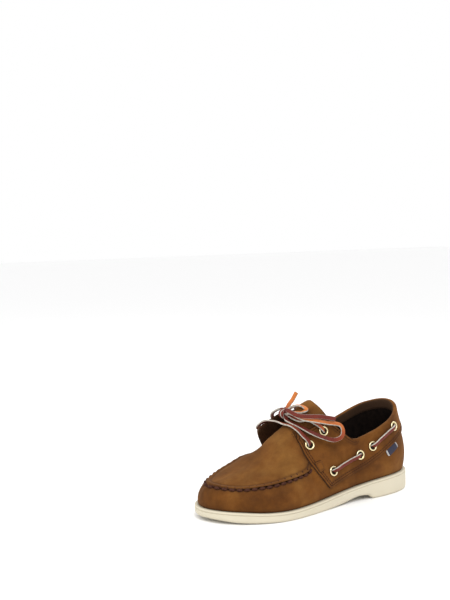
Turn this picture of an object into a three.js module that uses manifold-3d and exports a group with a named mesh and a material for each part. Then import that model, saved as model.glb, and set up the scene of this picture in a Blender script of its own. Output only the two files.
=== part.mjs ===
// A left boat shoe: a moccasin upper with a laced saddle on a one-piece rubber sole.
// Millimetres. +X points to the toe, +Y to the outer side of the foot, +Z up.
// The origin is on the floor under the middle of the heel.
import * as THREE from "three";
import { mergeVertices } from "three/addons/utils/BufferGeometryUtils.js";
import Module from "manifold-3d";

const wasm = await Module();
wasm.setup();
const { Manifold, Mesh: SolidMesh } = wasm;

// Driving sizes of the last and the sole
const SOLE_LENGTH = 262;
const BALL_WIDTH = 97;
const HEEL_CENTRE = 31;
const HEEL_STACK = 21;
const TOE_SPRING = 9;
const SOLE_EDGE = 3.6;
const INSTEP_HEIGHT = 82;
const WALL_INSET = 11;

// Leather and clearances
const UPPER_WALL = 2;
const SADDLE_LEATHER = 1.8;
const TONGUE_LEATHER = 2;
const INSOLE_THICKNESS = 3;
const CLEARANCE = 0.3;
const SEAT_GAP = 0.45;
const SEAM_RIDGE = 1.5;
const TOPLINE_TILT = 0.16;
const TILT_AXIS = 25;

// Eyelets and lace
const EYELET_RADIUS = 5.2;
const EYELET_BORE = 3;
const EYELET_HEIGHT = 1.2;
const EYELET_SEAT = 0.95;
const LACE_WIDTH = 4.2;
const LACE_THICKNESS = 1.8;

// Outline of the sole. Along is a share of the sole's length from the heel end,
// lateral and medial are shares of the ball width from the heel's centreline.
const OUTLINE = [
  { along: 0.0, lateral: 0.0, medial: 0.0 },
  { along: 0.018, lateral: 0.16, medial: 0.16 },
  { along: 0.06, lateral: 0.268, medial: 0.268 },
  { along: 0.12, lateral: 0.333, medial: 0.333 },
  { along: 0.2, lateral: 0.365, medial: 0.355 },
  { along: 0.3, lateral: 0.368, medial: 0.335 },
  { along: 0.4, lateral: 0.38, medial: 0.312 },
  { along: 0.5, lateral: 0.42, medial: 0.325 },
  { along: 0.6, lateral: 0.47, medial: 0.39 },
  { along: 0.68, lateral: 0.497, medial: 0.452 },
  { along: 0.75, lateral: 0.492, medial: 0.49 },
  { along: 0.82, lateral: 0.44, medial: 0.492 },
  { along: 0.89, lateral: 0.345, medial: 0.445 },
  { along: 0.945, lateral: 0.225, medial: 0.355 },
  { along: 0.985, lateral: 0.075, medial: 0.23 },
  { along: 1.0, lateral: -0.08, medial: 0.08 },
];

// Heights of the sole along the shoe. Tread is a share of the toe spring under the sole,
// top is a share of the heel stack at the surface that carries the upper.
const SOLE_RISE = [
  { along: 0.0, tread: 0.55, top: 1.0 },
  { along: 0.035, tread: 0.0, top: 1.0 },
  { along: 0.15, tread: 0.0, top: 0.97 },
  { along: 0.255, tread: 0.0, top: 0.9 },
  { along: 0.285, tread: 0.5, top: 0.86 },
  { along: 0.33, tread: 0.62, top: 0.8 },
  { along: 0.43, tread: 0.2, top: 0.66 },
  { along: 0.54, tread: 0.0, top: 0.53 },
  { along: 0.7, tread: 0.0, top: 0.45 },
  { along: 0.8, tread: 0.06, top: 0.48 },
  { along: 0.9, tread: 0.19, top: 0.57 },
  { along: 1.0, tread: 0.5, top: 0.61 },
];

// Sections of the last. Seam is the height of the moccasin seam, or of the wall's top
// behind it, as a share of the instep height, and medial is what the inner side adds to it.
// Inset is how far that line lies inside the feather edge, as a share of the wall inset.
// Flare is the wall's angle from vertical at the sole, lean its angle at the seam line and
// rise the angle at which the top leaves that line. Crown is the ridge's height over the
// line as a share of the half width, and shift moves the ridge to the inner side.
const SECTIONS = [
  { along: 0.0, seam: 1.18, medial: 0, inset: 0.95, flare: 15, lean: 8,
    rise: 82, crown: 0.8, shift: 0 },
  { along: 0.15, seam: 1.16, medial: 0.04, inset: 0.55, flare: 10, lean: 8,
    rise: 82, crown: 0.8, shift: 0.02 },
  { along: 0.3, seam: 1.1, medial: 0.06, inset: 0.72, flare: 8, lean: 10,
    rise: 80, crown: 1.0, shift: 0.05 },
  { along: 0.4, seam: 0.96, medial: 0.08, inset: 0.95, flare: 8, lean: 14,
    rise: 76, crown: 1.55, shift: 0.1 },
  { along: 0.5, seam: 0.74, medial: 0.1, inset: 1.0, flare: 10, lean: 22,
    rise: 68, crown: 1.8, shift: 0.15 },
  { along: 0.58, seam: 0.49, medial: 0.14, inset: 0.78, flare: 12, lean: 32,
    rise: 62, crown: 1.4, shift: 0.17 },
  { along: 0.64, seam: 0.455, medial: 0.17, inset: 0.76, flare: 13, lean: 38,
    rise: 54, crown: 0.94, shift: 0.16 },
  { along: 0.72, seam: 0.425, medial: 0.16, inset: 0.76, flare: 13, lean: 42,
    rise: 36, crown: 0.36, shift: 0.12 },
  { along: 0.8, seam: 0.395, medial: 0.11, inset: 0.8, flare: 13, lean: 45,
    rise: 24, crown: 0.21, shift: 0.08 },
  { along: 0.9, seam: 0.375, medial: 0.055, inset: 0.8, flare: 12, lean: 48,
    rise: 20, crown: 0.18, shift: 0.04 },
  { along: 1.0, seam: 0.4, medial: 0, inset: 0.6, flare: 12, lean: 50,
    rise: 16, crown: 0.2, shift: 0 },
];

// Shapes seen from the side. Along is a share of the sole's length from the heel end and
// up a share of the instep height, both given at the outer side of the foot.

// The edge where the upper ends: from the heel along the collar to the notch, then under
// the saddle to the throat.
const UPPER_EDGE = [
  { along: -0.111, up: 1.159 }, { along: 0, up: 1.159 }, { along: 0.05, up: 1.104 },
  { along: 0.099, up: 1.037 }, { along: 0.164, up: 0.963 }, { along: 0.225, up: 0.896 },
  { along: 0.286, up: 0.841 }, { along: 0.328, up: 0.811 }, { along: 0.355, up: 0.805 },
  { along: 0.405, up: 0.835 }, { along: 0.462, up: 0.848 }, { along: 0.515, up: 0.817 },
  { along: 0.553, up: 0.756 }, { along: 0.569, up: 0.707 },
];
const THROAT_FRONT = 0.569;

// The saddle's outline: collar, notch, rear slope, top edge along the throat, front edge
// and lower edge. Behind the medial seam the outer piece takes over at the inner side.
const SADDLE_OUTLINE = [
  { along: -0.111, up: 1.166 }, { along: 0, up: 1.166 }, { along: 0.05, up: 1.111 },
  { along: 0.099, up: 1.044 }, { along: 0.164, up: 0.971 }, { along: 0.225, up: 0.904 },
  { along: 0.286, up: 0.849 }, { along: 0.328, up: 0.817 }, { along: 0.347, up: 0.82 },
  { along: 0.37, up: 0.866 }, { along: 0.401, up: 0.951 }, { along: 0.431, up: 1.037 },
  { along: 0.454, up: 1.079 }, { along: 0.481, up: 1.079 }, { along: 0.515, up: 1.03 },
  { along: 0.546, up: 0.988 }, { along: 0.58, up: 0.957 }, { along: 0.595, up: 0.915 },
  { along: 0.595, up: 0.829 }, { along: 0.586, up: 0.72 }, { along: 0.569, up: 0.61 },
  { along: 0.546, up: 0.494 }, { along: 0.519, up: 0.378 }, { along: 0.5, up: 0.299 },
  { along: 0.489, up: 0.298 }, { along: 0.424, up: 0.354 }, { along: 0.355, up: 0.415 },
  { along: 0.294, up: 0.476 }, { along: 0.225, up: 0.567 }, { along: 0.149, up: 0.683 },
  { along: 0.08, up: 0.768 }, { along: 0.034, up: 0.811 }, { along: 0, up: 0.829 },
  { along: -0.111, up: 0.829 },
];
const MEDIAL_SEAM = 0.218;
const SADDLE_LIFT = 13;
const MEDIAL_REACH = 0.045;

// The small tab over the front of each saddle and the strip up the back of the heel.
const SEAM_TAB = [
  { along: 0.557, up: 0.622 }, { along: 0.523, up: 0.646 }, { along: 0.515, up: 0.537 },
  { along: 0.542, up: 0.5 },
];
const HEEL_STRIP = [
  { along: -0.111, up: 0.317 }, { along: 0.042, up: 0.317 }, { along: 0.042, up: 0.799 },
  { along: -0.111, up: 0.799 },
];
const HEEL_STRIP_WIDTH = 11;
const TAB_LEATHER = 1.4;
const TAG_CLOTH = 0.9;

// The plain woven tag under the saddle band at the outer side of the heel.
const TAG = [
  { along: 0.176, up: 0.61 }, { along: 0.126, up: 0.695 }, { along: 0.107, up: 0.622 },
  { along: 0.156, up: 0.518 },
];

// The tongue's end above the throat.
const TONGUE_TOP = [
  { along: 0.492, up: 1.707 }, { along: 0.473, up: 1.268 }, { along: 0.447, up: 1.122 },
  { along: 0.424, up: 1 }, { along: 0.424, up: 0.872 },
];

// Eyelets along the side and at the throat, the same on both sides.
const SIDE_EYELETS = [
  { along: 0.477, up: 0.5 }, { along: 0.33, up: 0.63 }, { along: 0.263, up: 0.715 },
  { along: 0.134, up: 0.909 },
];
const THROAT_EYELETS = [
  { along: 0.557, up: 0.817 }, { along: 0.485, up: 0.963 },
];

// The bow, each row a point its middle runs through: along and up as above, across a
// share of the ball width to the outer side.
const KNOT = { along: 0.575, across: -0.134, up: 1.157 };
const KNOT_RADIUS = 7;
const BOW = [
  {
    name: "loop_lateral", to: "knot", rows: [
      { along: 0.592, across: -0.026, up: 1.098 }, { along: 0.568, across: 0.124, up: 1.032 },
      { along: 0.545, across: 0.26, up: 0.97 }, { along: 0.506, across: 0.335, up: 0.91 },
      { along: 0.468, across: 0.375, up: 0.874 }, { along: 0.429, across: 0.37, up: 0.9 },
      { along: 0.411, across: 0.33, up: 0.969 }, { along: 0.421, across: 0.315, up: 1.035 },
      { along: 0.476, across: 0.287, up: 1.08 }, { along: 0.526, across: 0.258, up: 1.118 },
      { along: 0.562, across: 0.16, up: 1.135 }, { along: 0.58, across: 0.03, up: 1.183 },
    ],
  },
  {
    name: "loop_medial", to: "knot", rows: [
      { along: 0.566, across: -0.227, up: 1.202 }, { along: 0.569, across: -0.309, up: 1.165 },
      { along: 0.567, across: -0.392, up: 1.11 }, { along: 0.553, across: -0.45, up: 1.04 },
      { along: 0.527, across: -0.454, up: 0.99 }, { along: 0.5, across: -0.42, up: 0.985 },
      { along: 0.48, across: -0.37, up: 1.03 }, { along: 0.474, across: -0.3, up: 1.145 },
      { along: 0.492, across: -0.247, up: 1.2 }, { along: 0.527, across: -0.172, up: 1.212 },
    ],
  },
  {
    name: "end_lateral", to: "free", rows: [
      { along: 0.598, across: 0, up: 1.236 }, { along: 0.582, across: 0.13, up: 1.186 },
      { along: 0.558, across: 0.22, up: 1.182 }, { along: 0.508, across: 0.28, up: 1.17 },
      { along: 0.449, across: 0.33, up: 1.129 },
    ],
  },
  {
    name: "end_upright", to: "free", rows: [
      { along: 0.548, across: -0.155, up: 1.256 }, { along: 0.526, across: -0.17, up: 1.31 },
      { along: 0.511, across: -0.144, up: 1.413 },
    ],
  },
  {
    name: "arch", to: "knot", rows: [
      { along: 0.557, across: -0.093, up: 1.238 }, { along: 0.54, across: -0.041, up: 1.268 },
      { along: 0.522, across: 0.015, up: 1.256 }, { along: 0.525, across: 0.082, up: 1.226 },
      { along: 0.54, across: 0.052, up: 1.196 }, { along: 0.55, across: -0.041, up: 1.184 },
    ],
  },
  {
    name: "strand_lateral", to: "lateral", rows: [
      { along: 0.559, across: 0.09, up: 1.1 }, { along: 0.537, across: 0.135, up: 1.115 },
      { along: 0.513, across: 0.205, up: 1.07 },
    ],
  },
  {
    name: "strand_medial", to: "medial", rows: [
      { along: 0.553, across: -0.212, up: 1.15 }, { along: 0.542, across: -0.252, up: 1.19 },
      { along: 0.527, across: -0.28, up: 1.185 },
    ],
  },
];
const FRONT_BAR = [
  { along: 0.574, across: 0.206, up: 0.933 }, { along: 0.587, across: 0.155, up: 1.001 },
  { along: 0.595, across: 0.058, up: 1.044 }, { along: 0.602, across: -0.062, up: 1.048 },
  { along: 0.625, across: -0.15, up: 1.075 }, { along: 0.648, across: -0.25, up: 1.06 },
  { along: 0.657, across: -0.34, up: 0.965 },
];

// How finely the solids are faceted
const STATIONS = 30;
const WALL_SHARES = [0, 0.12, 0.26, 0.42, 0.58, 0.73, 0.86, 0.95, 1];
const TOP_SHARES = [0, 0.06, 0.2, 0.38, 0.58, 0.79, 1];
const WALL_ROWS = WALL_SHARES.length - 1;
const TOP_COLUMNS = 2 * (TOP_SHARES.length - 1);
const RING_SEGMENTS = 12;
const SOLE_STATIONS = 36;

// A smooth curve through one column of a table that keeps level stretches level.
function column(rows, key) {
  const slopes = rows.map((row, i) => {
    if (i === 0 || i === rows.length - 1) return 0;
    const before = (row[key] - rows[i - 1][key]) / (row.along - rows[i - 1].along);
    const after = (rows[i + 1][key] - row[key]) / (rows[i + 1].along - row.along);
    return before * after <= 0 ? 0 : (2 * before * after) / (before + after);
  });
  return (along) => {
    const a = Math.min(Math.max(along, rows[0].along), rows[rows.length - 1].along);
    let i = 0;
    while (i < rows.length - 2 && a > rows[i + 1].along) i += 1;
    const span = rows[i + 1].along - rows[i].along;
    const t = (a - rows[i].along) / span;
    const t2 = t * t;
    const t3 = t2 * t;
    return (
      (2 * t3 - 3 * t2 + 1) * rows[i][key] +
      (t3 - 2 * t2 + t) * span * slopes[i] +
      (3 * t2 - 2 * t3) * rows[i + 1][key] +
      (t3 - t2) * span * slopes[i + 1]
    );
  };
}

const treadHeight = column(SOLE_RISE, "tread");
const topHeight = column(SOLE_RISE, "top");
const SECTION_KEYS = ["seam", "medial", "inset", "flare", "lean", "rise", "crown", "shift"];
const section = Object.fromEntries(SECTION_KEYS.map((key) => [key, column(SECTIONS, key)]));
const alongOf = (x) => (x + HEEL_CENTRE) / SOLE_LENGTH;
const toX = (along) => along * SOLE_LENGTH - HEEL_CENTRE;
const sideShape = (rows) => rows.map((row) => [toX(row.along), row.up * INSTEP_HEIGHT]);
const throatFront = toX(THROAT_FRONT);
const soleTop = (x) => topHeight(alongOf(x)) * HEEL_STACK;
const soleBottom = (x) => treadHeight(alongOf(x)) * TOE_SPRING;

// The sole's outline as one closed curve: out along the lateral side, back along the medial.
const outlinePoint = (row, side) =>
  new THREE.Vector3(
    row.along * SOLE_LENGTH - HEEL_CENTRE,
    BALL_WIDTH * (side > 0 ? row.lateral : -row.medial),
    0,
  );
const outline = new THREE.CatmullRomCurve3(
  [
    ...OUTLINE.map((row) => outlinePoint(row, 1)),
    ...OUTLINE.slice(1, -1).reverse().map((row) => outlinePoint(row, -1)),
  ],
  true,
);
const TOE_PARAMETER = (OUTLINE.length - 1) / (2 * (OUTLINE.length - 1));

// The parameter on the outline for a station from heel (0) to toe (1) on a side.
const outlineParameter = (side, station) =>
  side > 0 ? station * TOE_PARAMETER : 1 - station * (1 - TOE_PARAMETER);

function outlineAt(side, station, inset) {
  const t = outlineParameter(side, station) % 1;
  const point = outline.getPoint(t);
  const tangent = outline.getTangent(t);
  const outward = new THREE.Vector3(-tangent.y, tangent.x, 0).normalize();
  return { point: point.addScaledVector(outward, -inset), outward };
}

const bezier = (a, b, c, d) => new THREE.CubicBezierCurve3(a, b, c, d);
const radians = THREE.MathUtils.degToRad;
const UP = new THREE.Vector3(0, 0, 1);

// The wall of the last at a station: a rib from the feather edge to the seam line.
function rib(side, station) {
  const { point: foot, outward } = outlineAt(side, station, SOLE_EDGE + UPPER_WALL);
  const along = alongOf(foot.x);
  foot.z = soleTop(foot.x) + SEAT_GAP;
  const inset = section.inset(along) * WALL_INSET;
  const top = foot.clone().addScaledVector(outward, -inset);
  const extra = side < 0 ? section.medial(along) : 0;
  top.z = (section.seam(along) + extra) * INSTEP_HEIGHT;
  const reach = (top.z - foot.z) * 0.4;
  const flare = radians(section.flare(along));
  const lean = radians(section.lean(along));
  const start = foot
    .clone()
    .addScaledVector(UP, reach * Math.cos(flare))
    .addScaledVector(outward, reach * Math.sin(flare));
  const end = top
    .clone()
    .addScaledVector(UP, -reach * Math.cos(lean))
    .addScaledVector(outward, reach * Math.sin(lean));
  return bezier(foot, start, end, top);
}

// Half of the last's top at a station: from the seam line on a side to the ridge.
function roof(side, station) {
  const near = rib(side, station).v3;
  const far = rib(-side, station).v3;
  const along = alongOf((near.x + far.x) / 2);
  const ridge = near.clone().lerp(far, 0.5 + side * section.shift(along));
  const span = far.clone().sub(near).setZ(0);
  ridge.z = (near.z + far.z) / 2 + (section.crown(along) * span.length()) / 2;
  const inward = span.normalize();
  const reach = near.distanceTo(ridge) * 0.38;
  const rise = radians(section.rise(along));
  const start = near
    .clone()
    .addScaledVector(inward, reach * Math.cos(rise))
    .addScaledVector(UP, reach * Math.sin(rise));
  const end = ridge.clone().addScaledVector(inward, -reach);
  return bezier(near, start, end, ridge);
}

function normalsOf(points, faces) {
  const normals = points.map(() => new THREE.Vector3());
  for (const [a, b, c] of faces) {
    const normal = new THREE.Vector3()
      .subVectors(points[b], points[a])
      .cross(new THREE.Vector3().subVectors(points[c], points[a]));
    for (const corner of [a, b, c]) normals[corner].add(normal);
  }
  return normals.map((normal) => normal.normalize());
}

// The grid of the last: walls round the whole foot and a roof between their tops.
const stationAt = (k) => (1 - Math.cos((Math.PI * k) / STATIONS)) / 2 * 0.5 + (k / STATIONS) * 0.5;
const lastGrid = (() => {
  const points = [];
  const loop = [];
  for (let k = 0; k <= STATIONS; k += 1) loop.push([1, stationAt(k)]);
  for (let k = STATIONS - 1; k > 0; k -= 1) loop.push([-1, stationAt(k)]);
  for (const [side, station] of loop) {
    const curve = rib(side, station);
    for (let j = 0; j <= WALL_ROWS; j += 1) points.push(curve.getPoint(WALL_SHARES[j]));
  }
  const wall = (i, j) => ((i + loop.length) % loop.length) * (WALL_ROWS + 1) + j;
  const roofStart = points.length;
  const halfColumns = TOP_COLUMNS / 2;
  for (let k = 1; k < STATIONS; k += 1) {
    const lateral = roof(1, stationAt(k));
    const medial = roof(-1, stationAt(k));
    for (let m = 1; m < TOP_COLUMNS; m += 1) {
      points.push(
        m <= halfColumns
          ? lateral.getPoint(TOP_SHARES[m])
          : medial.getPoint(TOP_SHARES[TOP_COLUMNS - m]),
      );
    }
  }
  const top = (k, m) => {
    if (k === 0 || k === STATIONS || m === 0) return wall(k, WALL_ROWS);
    if (m === TOP_COLUMNS) return wall(2 * STATIONS - k, WALL_ROWS);
    return roofStart + (k - 1) * (TOP_COLUMNS - 1) + m - 1;
  };
  const faces = [];
  const quad = (a, b, c, d) => {
    if (a !== b && b !== c && c !== a) faces.push([a, b, c]);
    if (a !== c && c !== d && d !== a) faces.push([a, c, d]);
  };
  for (let i = 0; i < loop.length; i += 1) {
    for (let j = 0; j < WALL_ROWS; j += 1) {
      quad(wall(i, j), wall(i, j + 1), wall(i + 1, j + 1), wall(i + 1, j));
    }
  }
  for (let k = 0; k < STATIONS; k += 1) {
    for (let m = 0; m < TOP_COLUMNS; m += 1) {
      quad(top(k, m), top(k, m + 1), top(k + 1, m + 1), top(k + 1, m));
    }
  }
  return { points, normals: normalsOf(points, faces), faces, loop, wall };
})();

function solidFrom(points, faces) {
  return new Manifold(
    new SolidMesh({
      numProp: 3,
      vertProperties: Float32Array.from(points.flatMap((p) => [p.x, p.y, p.z])),
      triVerts: Uint32Array.from(faces.flat()),
    }),
  );
}

// The last grown by an offset at each point of its grid, closed underneath. A drop
// carries the closed foot below the feather edge, so the form can cut through it.
function lastSolid(offset, drop = 0) {
  const { normals, wall, loop } = lastGrid;
  const points = lastGrid.points.map((p, i) => p.clone().addScaledVector(normals[i], offset(i)));
  const faces = lastGrid.faces.map((face) => [...face]);
  const ring = loop.map((_, i) => wall(i, 0));
  for (const i of ring) points[i].z = lastGrid.points[i].z;
  const foot = ring.map((i) => {
    if (drop === 0) return i;
    points.push(points[i].clone().setZ(points[i].z - drop));
    return points.length - 1;
  });
  const next = (i) => (i + 1) % loop.length;
  if (drop > 0) {
    ring.forEach((at, i) => {
      faces.push([at, ring[next(i)], foot[i]]);
      faces.push([ring[next(i)], foot[next(i)], foot[i]]);
    });
  }
  for (let k = 0; k < STATIONS; k += 1) {
    const [a, b] = [foot[k], foot[k + 1]];
    const [c, d] = [foot[loop.length - k - 1], foot[(loop.length - k) % loop.length]];
    if (b !== c) faces.push([a, b, c]);
    if (a !== d) faces.push([a, c, d]);
  }
  return solidFrom(points, faces);
}

// A shape drawn from the side, X to the toe and Z up, run across the shoe. Tilted shapes
// stand higher at the inner side, as the topline does.
function sidePrism(outlineXZ, low, high, tilt = TOPLINE_TILT) {
  const shape = new THREE.Shape(outlineXZ.map(([x, z]) => new THREE.Vector2(x, z)));
  const geometry = new THREE.ExtrudeGeometry(shape, { depth: high - low, bevelEnabled: false });
  geometry.rotateX(Math.PI / 2);
  geometry.translate(0, high, 0);
  geometry.translate(0, -TILT_AXIS, 0);
  geometry.applyMatrix4(new THREE.Matrix4().makeShear(0, 0, 0, -tilt, 0, 0));
  geometry.translate(0, TILT_AXIS, 0);
  return toSolid(geometry);
}

function toSolid(geometry) {
  const bare = geometry.clone();
  bare.deleteAttribute("normal");
  bare.deleteAttribute("uv");
  const merged = mergeVertices(bare);
  return new Manifold(
    new SolidMesh({
      numProp: 3,
      vertProperties: merged.attributes.position.array,
      triVerts: Uint32Array.from(merged.index.array),
    }),
  );
}

function toGeometry(solid) {
  const mesh = solid.getMesh();
  const geometry = new THREE.BufferGeometry();
  geometry.setAttribute("position", new THREE.BufferAttribute(mesh.vertProperties, 3));
  geometry.setIndex(new THREE.BufferAttribute(mesh.triVerts, 1));
  return geometry;
}

// A soft step from 0 to 1 between two values.
const smooth = (value, from, to) => THREE.MathUtils.smoothstep(value, from, to);

// How far the saddle's inner front stands off the foot.
function saddleLift(p) {
  if (p.y >= 0) return 0;
  return SADDLE_LIFT * smooth(alongOf(p.x), 0.45, THROAT_FRONT) * smooth(p.z / INSTEP_HEIGHT, 0.5, 0.85);
}

// The last's grid grown by an offset, with normals of its own.
function grown(offset) {
  const points = lastGrid.points.map((p, i) => p.clone().addScaledVector(lastGrid.normals[i], offset(i)));
  return { points, normals: normalsOf(points, lastGrid.faces) };
}

// The outermost point of a surface under a place, looking along one axis.
function pick(surface, axis, [s, t], sign) {
  const [one, two] = axis === "y" ? ["x", "z"] : ["x", "y"];
  let best = null;
  for (const [a, b, c] of lastGrid.faces) {
    const [p, q, r] = [surface.points[a], surface.points[b], surface.points[c]];
    const area = (q[one] - p[one]) * (r[two] - p[two]) - (r[one] - p[one]) * (q[two] - p[two]);
    const u = ((s - p[one]) * (r[two] - p[two]) - (r[one] - p[one]) * (t - p[two])) / area;
    const v = ((q[one] - p[one]) * (t - p[two]) - (s - p[one]) * (q[two] - p[two])) / area;
    if (u < 0 || v < 0 || u + v > 1) continue;
    const mix = (list) =>
      list[a].clone().multiplyScalar(1 - u - v).addScaledVector(list[b], u).addScaledVector(list[c], v);
    const point = mix(surface.points);
    if (best === null || sign * point[axis] > sign * best.point[axis]) {
      best = { point, normal: mix(surface.normals).normalize() };
    }
  }
  return best;
}

// The point of a surface's side at X and Z, given at the outer side and carried to either
// side by the topline's tilt.
function locate(surface, x, z, side) {
  let y = side * TILT_AXIS;
  let found = null;
  for (let pass = 0; pass < 3; pass += 1) {
    found = pick(surface, "y", [x, z + TOPLINE_TILT * (TILT_AXIS - y)], side);
    y = found.point.y;
  }
  return found;
}

// A flat band of lace through a row of points, its broad face square to the normals.
function lace(points, normals, width = LACE_WIDTH, thickness = LACE_THICKNESS) {
  const section = [
    [-0.5, -0.2], [-0.36, -0.5], [0.36, -0.5], [0.5, -0.2],
    [0.5, 0.2], [0.36, 0.5], [-0.36, 0.5], [-0.5, 0.2],
  ];
  const rings = points.map((point, i) => {
    const before = points[Math.max(i - 1, 0)];
    const after = points[Math.min(i + 1, points.length - 1)];
    const along = after.clone().sub(before).normalize();
    const across = along.clone().cross(normals[i]).normalize();
    const up = across.clone().cross(along).normalize();
    return section.map(([a, b]) =>
      point.clone().addScaledVector(across, a * width).addScaledVector(up, b * thickness),
    );
  });
  const count = section.length;
  const faces = [];
  for (let r = 0; r < rings.length - 1; r += 1) {
    for (let i = 0; i < count; i += 1) {
      const [a, b] = [r * count + i, r * count + ((i + 1) % count)];
      faces.push([a, b + count, b], [a, a + count, b + count]);
    }
  }
  const end = (rings.length - 1) * count;
  for (let i = 1; i < count - 1; i += 1) {
    faces.push([0, i, i + 1], [end, end + i + 1, end + i]);
  }
  return solidFrom(rings.flat(), faces);
}

// The rubber sole, ring by ring from the tread to the surface under the upper.
const SOLE_RINGS = [
  { inset: 1.6, from: "tread", up: 0 },
  { inset: 0.4, from: "tread", up: 1.2 },
  { inset: 0, from: "tread", up: 3 },
  { inset: 0, from: "top", up: -2.6 },
  { inset: 0.7, from: "top", up: -2.3 },
  { inset: 0.7, from: "top", up: -2.0 },
  { inset: 0.1, from: "top", up: -1.7 },
  { inset: 0.3, from: "top", up: 0 },
];

function soleSolid(rings) {
  const points = [];
  const faces = [];
  const loop = [];
  const bunched = (k) => (1 - Math.cos((Math.PI * k) / SOLE_STATIONS)) / 2;
  const station = (k) => bunched(k) * 0.3 + (k / SOLE_STATIONS) * 0.7;
  for (let k = 0; k <= SOLE_STATIONS; k += 1) loop.push([1, station(k)]);
  for (let k = SOLE_STATIONS - 1; k > 0; k -= 1) loop.push([-1, station(k)]);
  for (const ring of rings) {
    for (const [side, s] of loop) {
      const { point } = outlineAt(side, s, ring.inset);
      point.z = (ring.from === "tread" ? soleBottom(point.x) : soleTop(point.x)) + ring.up;
      points.push(point);
    }
  }
  const at = (r, i) => r * loop.length + ((i + loop.length) % loop.length);
  for (let r = 0; r < rings.length - 1; r += 1) {
    for (let i = 0; i < loop.length; i += 1) {
      faces.push([at(r, i), at(r + 1, i), at(r, i + 1)]);
      faces.push([at(r + 1, i), at(r + 1, i + 1), at(r, i + 1)]);
    }
  }
  const last = rings.length - 1;
  for (let k = 0; k < SOLE_STATIONS; k += 1) {
    const [c, d] = [loop.length - k - 1, loop.length - k];
    for (const [r, flip] of [[0, false], [last, true]]) {
      const quads = [[at(r, k), at(r, k + 1), at(r, c)], [at(r, k), at(r, c), at(r, d)]];
      for (const face of quads) {
        if (new Set(face).size === 3) faces.push(flip ? [...face].reverse() : face);
      }
    }
  }
  return solidFrom(points, faces);
}

const shoe = new THREE.Group();
function add(name, solid, colour, roughness, metalness = 0) {
  const material = new THREE.MeshStandardMaterial({ color: colour, roughness, metalness });
  const mesh = new THREE.Mesh(toGeometry(solid), material);
  mesh.name = name;
  shoe.add(mesh);
}

add("outsole", soleSolid(SOLE_RINGS), 0xe6dfc8, 0.6);

const insoleInset = SOLE_EDGE + UPPER_WALL + SEAT_GAP;
const insoleRings = [
  { inset: insoleInset, from: "top", up: SEAT_GAP },
  { inset: insoleInset, from: "top", up: SEAT_GAP + INSOLE_THICKNESS },
];
add("insole", soleSolid(insoleRings), 0x3a2618, 0.9);

// The upper's wall swells into a ridge along the moccasin seam.
const { points: lastPoints } = lastGrid;
const onSeam = (i) =>
  i < lastGrid.loop.length * (WALL_ROWS + 1) && i % (WALL_ROWS + 1) === WALL_ROWS;
const seamSwell = (i) =>
  onSeam(i) ? SEAM_RIDGE * smooth(lastPoints[i].x, throatFront + 2, throatFront + 12) : 0;
const outer = lastSolid((i) => UPPER_WALL + seamSwell(i));
const inner = lastSolid(() => 0, 10);
const FAR = 90;
const CEILING = 200;
const upperEdge = sideShape(UPPER_EDGE);
const collarCut = sidePrism([...upperEdge, [throatFront, CEILING], [-FAR, CEILING]], -FAR, FAR);
add("upper", outer.subtract(inner).subtract(collarCut), 0x7a4f26, 0.9);

// The tongue fills the throat in the same layer as the wall, clear of its edges.
const tongueTop = sideShape(TONGUE_TOP);
const tongueRear = Math.min(...tongueTop.map(([x]) => x));
const throatEdge = upperEdge.filter(([x]) => x > tongueRear).map(([x, z]) => [x, z + 2 * CLEARANCE]);
const tongueSide = [
  ...throatEdge.slice(0, -1),
  [throatFront - CLEARANCE, throatEdge[throatEdge.length - 1][1]],
  [throatFront - CLEARANCE, CEILING],
  ...tongueTop,
];
const tongueLayer = lastSolid(() => TONGUE_LEATHER).subtract(lastSolid(() => 0, 1));
add("tongue", tongueLayer.intersect(sidePrism(tongueSide, -FAR, FAR)), 0x6b4522, 0.9);

// The saddle band: one piece from the outer front round the heel, one at the inner front.
const saddleUnder = (i) => UPPER_WALL + CLEARANCE + saddleLift(lastPoints[i]);
const saddleOuter = lastSolid((i) => saddleUnder(i) + SADDLE_LEATHER);
const saddleLayer = saddleOuter.subtract(lastSolid(saddleUnder, 5));
const innerReach = ({ along, up }) => ({ along: along + MEDIAL_REACH * smooth(along, 0.4, 0.54), up });
const onSide = (rows, side) => sideShape(side > 0 ? rows : rows.map(innerReach));
const saddleOn = (side) => saddleLayer.intersect(sidePrism(onSide(SADDLE_OUTLINE, side), -FAR, FAR));
const innerFront = (start) => {
  const box = new THREE.BoxGeometry(CEILING, FAR, CEILING);
  box.translate(start + CEILING / 2, -FAR / 2, CEILING / 2);
  return toSolid(box);
};
add("saddle_lateral", saddleOn(1).subtract(innerFront(toX(MEDIAL_SEAM))), 0x7a4f26, 0.9);
add("saddle_medial", saddleOn(-1).intersect(innerFront(toX(MEDIAL_SEAM) + CLEARANCE)), 0x7a4f26, 0.9);

// Small patches of leather laid over the wall or the saddle.
function patch(rows, under, thickness, low, high) {
  const layer = lastSolid((i) => under(i) + thickness).subtract(lastSolid(under, 5));
  return layer.intersect(sidePrism(onSide(rows, high), low, high));
}
const tabUnder = (i) => saddleUnder(i) + SADDLE_LEATHER + CLEARANCE;
add("seam_tab_lateral", patch(SEAM_TAB, tabUnder, TAB_LEATHER, 0, FAR), 0x7a4f26, 0.9);
add("seam_tab_medial", patch(SEAM_TAB, tabUnder, TAB_LEATHER, -FAR, 0), 0x7a4f26, 0.9);
const stripUnder = () => UPPER_WALL + CLEARANCE;
const strip = patch(HEEL_STRIP, stripUnder, TAB_LEATHER, -HEEL_STRIP_WIDTH / 2, HEEL_STRIP_WIDTH / 2);
add("heel_strip", strip, 0x70471f, 0.9);
add("tag", patch(TAG, stripUnder, TAG_CLOTH, 0, FAR), 0x3a3836, 0.9);

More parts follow.
